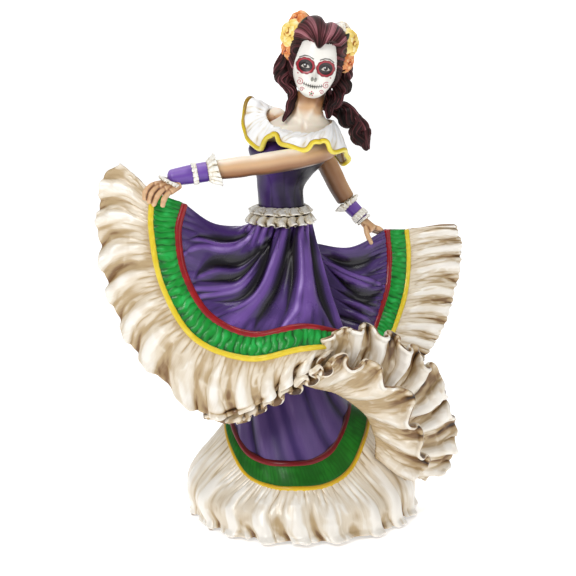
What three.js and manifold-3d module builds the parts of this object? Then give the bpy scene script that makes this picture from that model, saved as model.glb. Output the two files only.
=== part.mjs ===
// A hand-built catrina dancer about 240 mm tall: a wire armature on a foot board, a papier-mache
// core, torso, head and arms, and a swirling skirt of separately formed panels, cords and flounces.
// Millimetres, +Z up, the dancer faces -Y, and the origin is the middle of the foot on the surface.
// Every shape is made once by a function; a piece is then carved clear of the pieces made before it.
import * as THREE from "three";
import { mergeVertices } from "three/addons/utils/BufferGeometryUtils.js";
import Module from "manifold-3d";

const wasm = await Module();
wasm.setup();

// ---------------------------------------------------------------- driving dimensions
const GLUE_GAP = 0.3; // clearance left where two pieces are glued together
const CORNER_PUSH = 1.5; // a pushed corner has to travel further than its faces do
const MERGE = 0.05; // detail smaller than this is merged away
const CLOTH = 2.0; // thickness of a stiffened skirt panel
const FLOUNCE = 1.8; // thickness of a stiffened flounce
const BAND = 2.8; // thickness of the gathered green band
const RED_R = 1.9; // radius of the red cord
const YELLOW_R = 1.45; // radius of the yellow cord
const PAD_TOP = 1.0; // the felt pad is this thick
const BOARD_TOP = 4.5; // top of the foot board
const CORE_TOP = 141; // top of the papier-mache skirt core
const SPINE_R = 1.2; // radius of the armature wire up the body
const ARM_WIRE_R = 0.7; // radius of the armature wire through the arms

// ---------------------------------------------------------------- colours
const PURPLE = 0x4b2a80;
const RED = 0xa80f1c;
const GREEN = 0x0e8c3a;
const YELLOW = 0xf2cf3a;
const CREAM = 0xe9dfcd;
const LACE = 0xd9d0bb;
const WHITE = 0xf4f1ea;
const SKIN = 0xd9a987;
const HAIR = 0x3a1a1e;
const ORANGE = 0xe98a3c;
const STEEL = 0x9a9da0;
const PULP = 0xb9a88c;
const FELT = 0x23352a;
const LEAF = 0x20261d;

// ---------------------------------------------------------------- shape helpers
const v3 = ([x, y, z]) => new THREE.Vector3(x, y, z);
const rail = (points, closed = false) =>
  new THREE.CatmullRomCurve3(points.map(v3), closed, "catmullrom", 0.5);
const bulge = (u) => Math.sin(Math.PI * Math.min(1, Math.max(0, u)));
const wrap = (u) => u - Math.floor(u);

/** A closed BufferGeometry from a list of Vector3 and a list of triangles. */
function closedGeometry(vertices, triangles) {
  const geometry = new THREE.BufferGeometry();
  geometry.setFromPoints(vertices);
  geometry.setIndex(triangles.flat());
  return geometry;
}

/** A point on the surface that passes through several rails: u along them, v across them. */
function acrossRails(rails, closed) {
  return (u, v) => {
    const t = closed ? wrap(u) : Math.min(1, Math.max(0, u));
    const stations = rails.map((r) => r.getPoint(t));
    if (stations.length === 2) return stations[0].lerp(stations[1], v);
    return new THREE.CatmullRomCurve3(stations, false, "catmullrom", 0.5).getPoint(Math.min(1, Math.max(0, v)));
  };
}

/** A thick sheet over surface(u, v), rippled by wave(u, v) along its normal. */
function slab(surface, { along, across, thick, closed = false, wave = () => 0, flip = false }) {
  const step = 1e-3;
  const columns = closed ? along : along + 1;
  const rows = across + 1;
  const front = [];
  const back = [];
  for (let i = 0; i < columns; i += 1) {
    for (let j = 0; j < rows; j += 1) {
      const u = i / along;
      const v = j / across;
      const u0 = closed ? u - step : Math.max(0, u - step);
      const u1 = closed ? u + step : Math.min(1, u + step);
      const du = surface(u1, v).sub(surface(u0, v));
      const dv = surface(u, Math.min(1, v + step)).sub(surface(u, Math.max(0, v - step)));
      const normal = du.cross(dv).normalize().multiplyScalar(flip ? -1 : 1);
      const middle = surface(u, v).addScaledVector(normal, wave(u, v));
      const half = (typeof thick === "function" ? thick(u, v) : thick) / 2;
      front.push(middle.clone().addScaledVector(normal, half));
      back.push(middle.clone().addScaledVector(normal, -half));
    }
  }
  const count = front.length;
  const at = (i, j) => (i % columns) * rows + j;
  const triangles = [];
  const quad = (a, b, c, d) => triangles.push([a, b, c], [a, c, d]);
  for (let i = 0; i < along; i += 1) {
    for (let j = 0; j < across; j += 1) {
      quad(at(i, j), at(i + 1, j), at(i + 1, j + 1), at(i, j + 1));
      quad(count + at(i, j), count + at(i, j + 1), count + at(i + 1, j + 1), count + at(i + 1, j));
    }
    quad(at(i + 1, 0), at(i, 0), count + at(i, 0), count + at(i + 1, 0));
    quad(at(i, across), at(i + 1, across), count + at(i + 1, across), count + at(i, across));
  }
  if (!closed) {
    for (let j = 0; j < across; j += 1) {
      quad(at(0, j), at(0, j + 1), count + at(0, j + 1), count + at(0, j));
      quad(at(along, j + 1), at(along, j), count + at(along, j), count + at(along, j + 1));
    }
  }
  return outward(closedGeometry([...front, ...back], triangles));
}

/** A solid through a stack of rings of points, closed at both ends. */
function loft(rings, closed = false) {
  const sides = rings[0].length;
  const vertices = rings.flat();
  const triangles = [];
  const bands = closed ? rings.length : rings.length - 1;
  for (let i = 0; i < bands; i += 1) {
    const a = i * sides;
    const b = ((i + 1) % rings.length) * sides;
    for (let j = 0; j < sides; j += 1) {
      const k = (j + 1) % sides;
      triangles.push([a + j, a + k, b + k], [a + j, b + k, b + j]);
    }
  }
  if (!closed) {
    const last = (rings.length - 1) * sides;
    for (let j = 1; j < sides - 1; j += 1) {
      triangles.push([0, j + 1, j], [last, last + j, last + j + 1]);
    }
  }
  return outward(closedGeometry(vertices, triangles));
}

/** A horizontal ring of an elliptical body: centre x, y, z, half widths a and b, turned by spin. */
function ring(x, y, z, a, b, sides = 16, spin = 0) {
  return Array.from({ length: sides }, (_, i) => {
    const t = (2 * Math.PI * i) / sides;
    const p = new THREE.Vector3(a * Math.cos(t), b * Math.sin(t), 0);
    return p.applyAxisAngle(new THREE.Vector3(0, 0, 1), spin).add(new THREE.Vector3(x, y, z));
  });
}

/** A round rod along a curve; radius is a number or a function of u. */
function rod(points, radius, { along = 12, sides = 8, closed = false, flat = 1 } = {}) {
  const curve = Array.isArray(points) ? rail(points, closed) : points;
  const frames = curve.computeFrenetFrames(along, closed);
  const count = closed ? along : along + 1;
  const rings = Array.from({ length: count }, (_, i) => {
    const u = i / along;
    const centre = curve.getPointAt(u);
    const r = typeof radius === "function" ? radius(u) : radius;
    return Array.from({ length: sides }, (_unused, j) => {
      const t = (2 * Math.PI * j) / sides;
      return centre
        .clone()
        .addScaledVector(frames.normals[i], r * Math.cos(t))
        .addScaledVector(frames.binormals[i], r * flat * Math.sin(t));
    });
  });
  return loft(rings, closed);
}

/** An egg: an icosphere stretched to half sizes a, b, c, turned by Euler angles, and moved. */
function egg(centre, [a, b, c], turn = [0, 0, 0], detail = 1) {
  const geometry = new THREE.IcosahedronGeometry(1, detail);
  geometry.scale(a, b, c);
  geometry.applyMatrix4(new THREE.Matrix4().makeRotationFromEuler(new THREE.Euler(...turn)));
  geometry.translate(...centre);
  return geometry;
}

/** Positions only, with shared vertices merged. */
function welded(geometry) {
  const bare = new THREE.BufferGeometry();
  bare.setAttribute("position", geometry.getAttribute("position").clone());
  if (geometry.index) bare.setIndex(geometry.index.clone());
  return mergeVertices(bare, 1e-3);
}

/** The same geometry with its faces pointing out. */
function outward(geometry) {
  const bare = welded(geometry);
  const p = bare.getAttribute("position");
  const index = bare.index.array;
  const corner = [new THREE.Vector3(), new THREE.Vector3(), new THREE.Vector3()];
  let volume = 0;
  for (let i = 0; i < index.length; i += 3) {
    corner.forEach((c, k) => c.fromBufferAttribute(p, index[i + k]));
    volume += corner[0].dot(corner[1].clone().cross(corner[2]));
  }
  if (volume < 0) {
    for (let i = 0; i < index.length; i += 3) {
      [index[i + 1], index[i + 2]] = [index[i + 2], index[i + 1]];
    }
  }
  return bare;
}

/** The geometry with every vertex pushed out along its normal, so that its faces move by distance. */
function grown(geometry, distance) {
  const bare = welded(geometry);
  bare.computeVertexNormals();
  const p = bare.getAttribute("position");
  const n = bare.getAttribute("normal");
  for (let i = 0; i < p.count; i += 1) {
    const push = distance * CORNER_PUSH;
    p.setXYZ(i, p.getX(i) + n.getX(i) * push, p.getY(i) + n.getY(i) * push, p.getZ(i) + n.getZ(i) * push);
  }
  return bare;
}

/** A three.js geometry as a manifold-3d solid. */
function solidOf(geometry) {
  const bare = welded(geometry);
  const mesh = new wasm.Mesh({
    numProp: 3,
    vertProperties: new Float32Array(bare.getAttribute("position").array),
    triVerts: new Uint32Array(bare.index.array),
  });
  return new wasm.Manifold(mesh);
}

/** A manifold-3d solid as a three.js geometry. */
function geometryOf(solid) {
  const mesh = solid.getMesh();
  const positions = new Float32Array(mesh.numVert * 3);
  for (let i = 0; i < mesh.numVert; i += 1) {
    positions.set(mesh.vertProperties.subarray(i * mesh.numProp, i * mesh.numProp + 3), i * 3);
  }
  const geometry = new THREE.BufferGeometry();
  geometry.setAttribute("position", new THREE.BufferAttribute(positions, 3));
  geometry.setIndex(new THREE.BufferAttribute(new Uint32Array(mesh.triVerts), 1));
  geometry.computeVertexNormals();
  return geometry;
}

// ---------------------------------------------------------------- the assembly
const dancer = new THREE.Group();
const placed = [];

const boxOf = (geometry) => {
  geometry.computeBoundingBox();
  return geometry.boundingBox;
};

/** Several overlapping geometries joined into one solid. */
const joined = (geometries) => geometries.map(solidOf).reduce((a, b) => a.add(b));

/**
 * Adds one named piece. shape is a geometry, or a list of geometries that are joined. It is carved
 * clear of every piece placed before it, and of the extra tools in without.
 */
function place(name, colour, shape, { roughness = 0.35, metalness = 0, without = [], clear = true } = {}) {
  const shapes = Array.isArray(shape) ? shape : [shape];
  const keepOut = shapes.map((g) => grown(g, GLUE_GAP));
  let solid = joined(shapes);
  const reach = shapes.map((g) => boxOf(g)).reduce((a, b) => a.clone().union(b));
  if (clear) {
    placed
      .filter((other) => other.box.intersectsBox(reach))
      .forEach((other) => {
        if (solid.intersect(other.keepOut).volume() > 0) solid = solid.subtract(other.keepOut);
      });
  }
  without.forEach((tool) => {
    solid = solid.subtract(solidOf(tool));
  });
  const bodies = solid.decompose();
  solid = bodies.reduce((a, b) => (a.volume() > b.volume() ? a : b));
  solid = solid.simplify(MERGE);
  const out = keepOut.map(solidOf).reduce((a, b) => a.add(b), joined(shapes));
  placed.push({ name, keepOut: out, box: keepOut.map(boxOf).reduce((a, b) => a.clone().union(b)) });
  const material = new THREE.MeshStandardMaterial({ color: colour, roughness, metalness });
  const mesh = new THREE.Mesh(geometryOf(solid), material);
  mesh.name = name;
  dancer.add(mesh);
}

// ---------------------------------------------------------------- inside: armature, foot, core
const SPINE = [
  [2, 0, 2.0],
  [2, 0, 70],
  [1.5, 0, 142],
  [0.8, 0, 157],
  [4, 0, 172],
  [9, 1, 186],
  [13.5, 2, 198],
  [16.5, 3, 214],
];
const ARM_WIRE = [
  [-52, -41.6, 164.6],
  [-46, -39.8, 168],
  [-38, -38.6, 169.6],
  [-22.5, -36.5, 171.8],
  [-8, -31.5, 173],
  [9, -20, 175],
  [20, -6, 179],
  [13, 7, 184],
  [1, 14, 182],
  [6, 21, 175],
  [14, 24, 168],
  [20.3, 24, 161.1],
  [25.1, 22.6, 154.9],
  [30, 20.4, 148.4],
  [38.6, 17.5, 140.1],
  [42, 16.6, 136.4],
];
const FOOT = { x: 10, y: 0, a: 44, b: 50 };

function footDisc(bottom, top, inset) {
  const profile = [
    [0, bottom],
    [1, bottom],
    [1, top],
    [0, top],
  ].map(([r, z]) => new THREE.Vector2(r, z));
  const disc = new THREE.LatheGeometry(profile, 28);
  disc.rotateX(Math.PI / 2);
  disc.scale(FOOT.a - inset, FOOT.b - inset, 1);
  disc.translate(FOOT.x, FOOT.y, 0);
  return outward(disc);
}

place("foot_pad", FELT, footDisc(0, PAD_TOP, 0), { roughness: 0.95 });
place("spine_wire", STEEL, rod(SPINE, SPINE_R, { along: 16, sides: 6 }), { metalness: 0.9 });
place("arm_wire", STEEL, rod(ARM_WIRE, ARM_WIRE_R, { along: 28, sides: 4 }), { metalness: 0.9 });
place("foot_board", PULP, footDisc(PAD_TOP + GLUE_GAP, BOARD_TOP, 2), { roughness: 0.8 });

/** Height, centre and half widths of the skirt core; the lower skirt is the same form, thicker. */
const CORE = [
  [5, 6, -2, 27, 34],
  [30, 5.5, -2, 22, 30],
  [60, 4, -1, 17, 22],
  [95, 2.5, 0, 13.5, 14],
  [125, 1.8, 0, 12, 10.5],
  [CORE_TOP, 1.5, 0, 10.5, 8.5],
];
place("skirt_core", PULP, loft(CORE.map(([z, x, y, a, b]) => ring(x, y, z, a, b, 16))), { roughness: 0.9 });

// ---------------------------------------------------------------- torso, head and arms
const TORSO = [
  [142, 1.5, 0, 9, 7],
  [157, 0.4, 0, 9, 7],
  [166, 2.5, -1, 12, 8.5],
  [174, 4.8, -2.4, 15.5, 10.5],
  [181, 6.5, -1.5, 17, 10.2],
  [186.5, 8.5, 0, 16, 8.4],
  [190, 10, 0.8, 11.6, 7.2],
  [192.5, 10.9, 1, 8.4, 6.6],
  [196, 12.2, 1.2, 6.9, 6.1],
  [203, 14.6, 1.6, 6.4, 6],
];
place("torso", SKIN, loft(TORSO.map(([z, x, y, a, b]) => ring(x, y, z, a, b, 14))), { roughness: 0.45 });

/** Head sections along its own axis: height over the chin, depth of the centre, half widths. */
const HEAD = [
  [0, -7.6, 2.6, 2.4],
  [1.6, -6.4, 5.2, 4.8],
  [5, -4.2, 7.9, 8.2],
  [10, -2, 10, 11.3],
  [16, 0, 11.1, 13.2],
  [22, 1.2, 11.3, 13.6],
  [27, 1.8, 10.3, 12.4],
  [31, 2, 7.6, 9.4],
  [33.6, 2, 3, 4],
];
const CHIN = [14.2, -3.5, 201.4];
const HEAD_TILT = 0.16; // radians, crown towards +X

function headSpace(geometry) {
  geometry.rotateY(HEAD_TILT);
  geometry.translate(...CHIN);
  return outward(geometry);
}

const headForm = headSpace(loft(HEAD.map(([h, y, a, b]) => ring(0, y, h, a, b, 14))));
const noseForm = headSpace(egg([0, -13.6, 10.4], [1.5, 1.9, 3], [0.3, 0, 0]));
place("head", WHITE, [headForm, noseForm]);

const LEFT_ARM = [
  [26, 2, 180.5],
  [20.5, -9, 176.6],
  [9.3, -21, 174.6],
  [-5, -30.5, 173.4],
  [-18, -36, 172.4],
  [-29.7, -38, 171.3],
];
const RIGHT_ARM = [
  [-2.5, 7, 190.5],
  [-1, 15, 185],
  [5, 20.5, 180],
  [13, 22, 175],
  [20.5, 20.5, 169],
  [24.6, 20, 162],
  [27.2, 20, 155],
  [30.2, 20.2, 148.2],
];
const armRadius = (u) => 5.5 - 1.3 * u + 0.4 * bulge(u * 1.3 - 0.5);
place("left_arm", SKIN, rod(LEFT_ARM, armRadius, { along: 10, sides: 8 }), { roughness: 0.45 });
place("right_arm", SKIN, rod(RIGHT_ARM, armRadius, { along: 10, sides: 8 }), { roughness: 0.45 });

/** A finger or thumb, tapering to its tip. */
const finger = (points, r) => rod(points, (u) => r * (1 - 0.35 * u), { along: 4, sides: 5 });

const LEFT_WRIST = [-47.6, -40.7, 166.2];
/** Knuckle, middle joint and tip of each finger of the left hand, from the outermost one in. */
const LEFT_FINGERS = [
  [[-57.2, -43.2, 165], [-60.2, -45.5, 162.6], [-60.7, -46, 158.5]],
  [[-54.8, -43.8, 164.5], [-57.6, -46, 161.8], [-58.9, -46.6, 157]],
  [[-52.3, -44.2, 163.4], [-54.9, -46.3, 160.7], [-56.9, -46.8, 155.9]],
  [[-49.9, -44.2, 162.2], [-51.9, -46.3, 159.2], [-52.7, -46.8, 155.5]],
];
const leftHand = LEFT_FINGERS.flatMap(([knuckle, middle, tip]) => [
  rod([LEFT_WRIST, knuckle], 1.9, { along: 1, sides: 6 }),
  finger([knuckle, middle, tip], 1.35),
]);
place("left_hand", SKIN, leftHand, { roughness: 0.45 });

const rightHand = [
  rod([[40.2, 17.2, 138.4], [42.6, 16.6, 136], [45, 16.4, 134]], (u) => 2.7 + 0.6 * u, {
    along: 4,
    sides: 8,
    flat: 0.8,
  }),
  finger([[41, 15, 136.2], [42.1, 12.8, 132.2], [44.3, 11.6, 127.6]], 1.5),
  ...[0, 1, 2].map((k) =>
    finger(
      [
        [45 - 0.6 * k, 16.6 + 1.6 * k, 135.4 - k],
        [48.6 - 0.6 * k, 17.8 + 1.4 * k, 134 - k],
        [50.4 - 0.6 * k, 20.6 + 0.9 * k, 130.8 - k],
      ],
      1.35,
    ),
  ),
];
place("right_hand", SKIN, rightHand, { roughness: 0.45 });

const BODICE = [
  [143.2, 1.5, 0, 11.2, 9],
  [150, 0.6, 0, 10.8, 8.7],
  [157, 0.2, 0, 11, 8.8],
  [163, 1.8, -0.8, 13, 10],
  [170, 4, -2.8, 17, 12.6],
  [176, 4.6, -3.4, 19.4, 13.2],
  [180.5, 6, -2.6, 19, 12.2],
];
place("bodice", PURPLE, loft(BODICE.map(([z, x, y, a, b]) => ring(x, y, z, a, b, 14))));

// ---------------------------------------------------------------- lower skirt
/**
 * A closed rail round the lower skirt. It lies low at the front and the back and is lifted at
 * both sides, and more at the right. u runs from the front to the right, the back and the left.
 */
function hemRail(x, y, a, b, low, lift, right = 0) {
  const points = Array.from({ length: 16 }, (_, i) => {
    const t = -Math.PI / 2 + (2 * Math.PI * i) / 16;
    const side = Math.cos(t);
    return [x + a * side, y + b * Math.sin(t), low + lift * Math.abs(side) ** 5 + right * Math.max(side, 0) ** 3];
  });
  return rail(points, true);
}

const LOWER_TOP = hemRail(1.5, 0, 12.6, 10.4, 139.5, 0);
const LOWER_HIP = hemRail(2, 0, 15, 14.5, 112, 0);
const LOWER_MID = hemRail(4, -2, 20.5, 27, 72, 2);
const LOWER_RED = hemRail(5, -4, 27.6, 39.5, 34.2, 12, 6);
const LOWER_YELLOW = hemRail(8.3, -3, 34.2, 46, 24.2, 19, 4.5);
const LOWER_BELLY = hemRail(9.5, -2, 53, 54.5, 13, 5, 2);
const LOWER_HEM = hemRail(11, -1, 52, 59, 1.4, 0);

/** The rail a share of the way from one rail to another. */
function between(a, b, share, closed) {
  const count = closed ? 32 : 14;
  const points = Array.from({ length: closed ? count : count + 1 }, (_, i) => {
    const p = a.getPoint(i / count).lerp(b.getPoint(i / count), share);
    return [p.x, p.y, p.z];
  });
  return rail(points, closed);
}

const gatherWave = (folds, height, power = 1) => (u, v) =>
  height * v ** power * Math.sin(2 * Math.PI * folds * u + 0.8 * Math.sin(2 * Math.PI * u));

place(
  "lower_skirt",
  PURPLE,
  slab(acrossRails([LOWER_TOP, LOWER_HIP, LOWER_MID, between(LOWER_MID, LOWER_RED, 0.9, true)], true), {
    along: 30,
    across: 4,
    thick: CLOTH,
    closed: true,
    wave: gatherWave(9, 0.8),
  }),
);
place("lower_red_cord", RED, rod(LOWER_RED, RED_R, { along: 28, sides: 5, closed: true }));
place("lower_yellow_cord", YELLOW, rod(LOWER_YELLOW, YELLOW_R, { along: 30, sides: 5, closed: true }));
place(
  "lower_green_band",
  GREEN,
  slab(acrossRails([between(LOWER_RED, LOWER_YELLOW, 0.24, true), between(LOWER_RED, LOWER_YELLOW, 0.78, true)], true), {
    along: 30,
    across: 1,
    thick: BAND,
    closed: true,
  }),
);
place(
  "lower_flounce",
  CREAM,
  slab(acrossRails([between(LOWER_YELLOW, LOWER_BELLY, 0.16, true), LOWER_BELLY, LOWER_HEM], true), {
    along: 63,
    across: 2,
    thick: FLOUNCE,
    closed: true,
    wave: (u, v) => 1.6 * bulge(v * 0.85 + 0.1) * Math.sin(2 * Math.PI * 21 * u),
  }),
);

// ---------------------------------------------------------------- front sweep, from waist to left hand
const FRONT_WAIST = rail([
  [-15.6, -4, 140.5],
  [-13, -9, 143],
  [-8, -12.4, 144],
  [-1, -13.6, 144.2],
  [6, -12.9, 144.1],
  [11.5, -9.8, 143.3],
  [14.9, -5, 142],
]);
const FRONT_MID = rail([
  [-31.4, -21, 143.9],
  [-26, -27, 134.5],
  [-21, -34, 121.5],
  [-12, -39, 115.5],
  [-1, -40, 116],
  [11, -37, 117],
  [22.4, -26, 115.8],
]);
const FRONT_RED = rail([
  [-43.4, -38, 156.2],
  [-46.3, -41, 142.8],
  [-43, -45, 123.8],
  [-31.7, -50, 106.4],
  [-12.5, -53, 98.2],
  [10, -52, 101.6],
  [30, -40, 95.4],
]);
const FRONT_YELLOW = rail([
  [-57.6, -40, 161.6],
  [-57.9, -43, 143.5],
  [-52.7, -48, 119.4],
  [-38.4, -54, 97.2],
  [-14.2, -58.5, 88.8],
  [9.3, -58, 93],
  [26.6, -46, 91.9],
]);
const FRONT_HEM = rail([
  [-73.6, -32, 175],
  [-82.7, -33, 148.4],
  [-78.8, -39, 115.7],
  [-63.9, -47, 86],
  [-34, -57, 61.8],
  [-10, -60, 67.5],
  [4, -58, 79],
  [20, -54, 88],
]);

place(
  "front_panel",
  PURPLE,
  slab(acrossRails([FRONT_WAIST, FRONT_MID, between(FRONT_MID, FRONT_RED, 0.93)]), {
    along: 20,
    across: 4,
    thick: CLOTH,
    wave: (u, v) => 1.1 * bulge(v * 0.9) * Math.sin(2 * Math.PI * 5 * u + 1),
  }),
);
place("front_red_cord", RED, rod(FRONT_RED, RED_R, { along: 24, sides: 5 }));
place("front_yellow_cord", YELLOW, rod(FRONT_YELLOW, YELLOW_R, { along: 26, sides: 5 }));
place(
  "front_green_band",
  GREEN,
  slab(acrossRails([between(FRONT_RED, FRONT_YELLOW, 0.23), between(FRONT_RED, FRONT_YELLOW, 0.8)]), {
    along: 24,
    across: 1,
    thick: BAND,
  }),
);
place(
  "front_flounce",
  CREAM,
  slab(acrossRails([between(FRONT_YELLOW, FRONT_HEM, 0.12), between(FRONT_YELLOW, FRONT_HEM, 0.55), FRONT_HEM]), {
    along: 48,
    across: 3,
    thick: FLOUNCE,
    wave: (u, v) => 2.4 * v * Math.sin(2 * Math.PI * 12 * u + 0.6),
  }),
);

// ---------------------------------------------------------------- side sweep, to the right hand
const SIDE_HIP = rail([
  [16.5, 3, 130],
  [17.7, 2, 120],
  [19.5, -2, 109.4],
  [21.5, -6, 100.1],
  [24, -12, 91],
]);
const SIDE_MID = rail([
  [33.6, 8, 127.1],
  [36.5, 6, 117.3],
  [38.6, 1, 107.7],
  [38.8, -5, 98.3],
  [38.4, -12, 89.9],
]);
const SIDE_RED = rail([
  [51.8, 18, 134.1],
  [52.9, 17, 120.5],
  [51.8, 12, 106.6],
  [47.7, 4, 95],
  [43.5, -6, 86.5],
]);
const SIDE_YELLOW = rail([
  [61.1, 19, 133.9],
  [62.2, 18, 119.8],
  [60.6, 13, 104],
  [55.9, 4, 91.1],
  [50.7, -6, 81.6],
]);
const SIDE_HEM = rail([
  [85.3, 24, 135.5],
  [88.4, 24, 122.6],
  [85.9, 19, 105.2],
  [79.7, 11, 88],
  [68.4, 0, 72.2],
]);

place(
  "side_panel",
  PURPLE,
  slab(acrossRails([SIDE_HIP, SIDE_MID, between(SIDE_MID, SIDE_RED, 0.88)]), {
    along: 12,
    across: 4,
    thick: CLOTH,
    wave: (u, v) => 0.9 * bulge(v * 0.9) * Math.sin(2 * Math.PI * 3 * u + 1),
  }),
);
place("side_red_cord", RED, rod(SIDE_RED, RED_R - 0.2, { along: 12, sides: 5 }));
place("side_yellow_cord", YELLOW, rod(SIDE_YELLOW, YELLOW_R, { along: 12, sides: 5 }));
place(
  "side_green_band",
  GREEN,
  slab(acrossRails([between(SIDE_RED, SIDE_YELLOW, 0.24), between(SIDE_RED, SIDE_YELLOW, 0.76)]), {
    along: 14,
    across: 1,
    thick: BAND,
  }),
);
place(
  "side_flounce",
  CREAM,
  slab(acrossRails([between(SIDE_YELLOW, SIDE_HEM, 0.11), between(SIDE_YELLOW, SIDE_HEM, 0.55), SIDE_HEM]), {
    along: 32,
    across: 2,
    thick: FLOUNCE,
    wave: (u, v) => 2.0 * v * Math.sin(2 * Math.PI * 8 * u + 0.4),
  }),
);

// ---------------------------------------------------------------- the two curled flounces of the swirl
const INNER_CURL_ROOT = rail([
  [-34, -49, 68],
  [-20, -51, 67],
  [-10, -52, 71.5],
  [-2, -50, 77],
  [6, -46, 75.5],
  [13, -44, 72],
  [19, -43.3, 70.3],
  [27, -42, 67.5],
  [36, -38, 62.5],
  [41.5, -33.5, 56.5],
  [44, -30, 48.7],
  [45, -27, 40.5],
  [45, -27, 32],
]);
const INNER_CURL_HEM = rail([
  [-36, -52, 59.5],
  [-20, -54.5, 57.5],
  [-8, -57.5, 64.5],
  [5, -59, 73.3],
  [17, -60, 82],
  [27, -58, 88],
  [38, -54.5, 85.7],
  [48, -51, 79],
  [59.5, -44, 66.5],
  [63.3, -39, 53.3],
  [67.6, -33, 40.4],
  [70, -27, 27.3],
  [69, -22, 14],
]);
const OUTER_CURL_ROOT = rail([
  [16, -46, 84],
  [30, -42, 80.5],
  [46, -34, 75],
  [56.5, -26, 62.5],
  [61, -18, 47],
  [63.5, -11, 31],
  [64, -6, 16],
]);
const OUTER_CURL_HEM = rail([
  [19.1, -54, 95.7],
  [29.6, -52, 98.4],
  [38, -48, 101.5],
  [48, -41, 97],
  [58, -35, 90],
  [68, -24, 79.5],
  [77, -13, 66.5],
  [80.5, -7, 54],
  [85, -1, 38.7],
  [84, 4, 22.3],
  [76, 8, 9.5],
]);

place(
  "inner_curl_flounce",
  CREAM,
  slab(acrossRails([INNER_CURL_ROOT, between(INNER_CURL_ROOT, INNER_CURL_HEM, 0.55), INNER_CURL_HEM]), {
    along: 44,
    across: 2,
    thick: FLOUNCE,
    wave: (u, v) => 1.8 * v * Math.sin(2 * Math.PI * 11 * u),
  }),
);
place(
  "outer_curl_flounce",
  CREAM,
  slab(acrossRails([OUTER_CURL_ROOT, between(OUTER_CURL_ROOT, OUTER_CURL_HEM, 0.55), OUTER_CURL_HEM]), {
    along: 40,
    across: 2,
    thick: FLOUNCE,
    wave: (u, v) => 2.6 * v * Math.sin(2 * Math.PI * 9 * u),
  }),
);

// ---------------------------------------------------------------- waist, collar and cuffs
const oval = (x, y, z, a, b, tilt = 0, count = 12) =>
  rail(
    Array.from({ length: count }, (_, i) => {
      const t = (2 * Math.PI * i) / count;
      return [x + a * Math.cos(t), y + b * Math.sin(t), z + tilt * Math.cos(t)];
    }),
    true,
  );

const scallops = (folds, height) => (u, v) => height * v * Math.sin(2 * Math.PI * folds * u);

place(
  "waist_lace_lower",
  LACE,
  slab(acrossRails([oval(1, -0.4, 145.6, 14.6, 13.6), oval(0.6, -2, 140.6, 17.8, 19.4)], true), {
    along: 30,
    across: 1,
    thick: 1.3,
    closed: true,
    wave: scallops(10, 0.6),
  }),
);
place(
  "waist_lace_upper",
  LACE,
  slab(acrossRails([oval(0.8, 0, 149.6, 12.6, 10.6), oval(0.5, -1, 147, 16.6, 16.4)], true), {
    along: 30,
    across: 1,
    thick: 1.2,
    closed: true,
    wave: scallops(10, 0.5),
  }),
);

const COLLAR_NECK = rail(
  [
    [-8, 4, 192.6],
    [-7.4, -4, 190],
    [-2.2, -9.4, 187.4],
    [7, -12.6, 185],
    [16.3, -13, 185],
    [24.8, -9.4, 186.8],
    [27.6, -1, 188],
    [26, 8, 188],
    [16, 12, 189],
    [5, 13, 191],
    [-4, 11, 193],
  ],
  true,
);
const COLLAR_HEM = rail(
  [
    [-18.9, 5, 188.8],
    [-17.3, -3, 183],
    [-13.6, -10, 180.4],
    [-8.2, -15.5, 178],
    [-3.6, -20.5, 183.4],
    [2, -23.5, 180],
    [11.6, -25, 179.2],
    [19, -23, 182],
    [25, -19, 178],
    [30.4, -9, 176.4],
    [32, -2, 171.4],
    [30, 5, 168],
    [24, 12.5, 173],
    [17, 17, 182],
    [4, 20, 187],
    [-11, 15, 196],
    [-17.6, 10, 197.6],
  ],
  true,
);
place(
  "collar_trim",
  YELLOW,
  rod(COLLAR_HEM, 1.0, { along: 30, sides: 5, closed: true }),
);
place(
  "collar_ruffle",
  WHITE,
  slab(acrossRails([COLLAR_NECK, between(COLLAR_NECK, COLLAR_HEM, 0.55, true), COLLAR_HEM], true), {
    along: 30,
    across: 2,
    thick: 1.6,
    closed: true,
    flip: true,
  }),
);

/** A point a share of the way along a wrist, as an array. */
const alongLine = (a, b, t) => a.map((x, i) => x + (b[i] - x) * t);

/** The cuff on one wrist: sleeve, braid round the middle, lace frill at each end. */
function cuff(side, start, end, radius, braidAt) {
  const at = (t) => alongLine(start, end, t);
  const piece = (from, to, radii) => rod([at(from), at(to)], radii, { along: 1, sides: 8 });
  place(`${side}_cuff`, PURPLE, piece(0.06, 0.96, (u) => radius - 0.8 * u));
  place(`${side}_cuff_braid`, LACE, piece(braidAt - 0.07, braidAt + 0.07, radius + 0.9), { roughness: 0.5 });
  place(`${side}_cuff_lace`, LACE, piece(-0.14, 0.12, (u) => radius + 1.9 - 1 * u), { roughness: 0.5 });
  place(`${side}_wrist_lace`, LACE, piece(0.9, 1.06, (u) => radius + 0.3 + 0.5 * u), { roughness: 0.5 });
}
cuff("left", [-30.6, -38, 171], [-47.8, -40, 167.4], 4.4, 0.5);
cuff("right", [30.9, 19.8, 147.4], [39.8, 17.3, 138.9], 3.9, 0.66);

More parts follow.
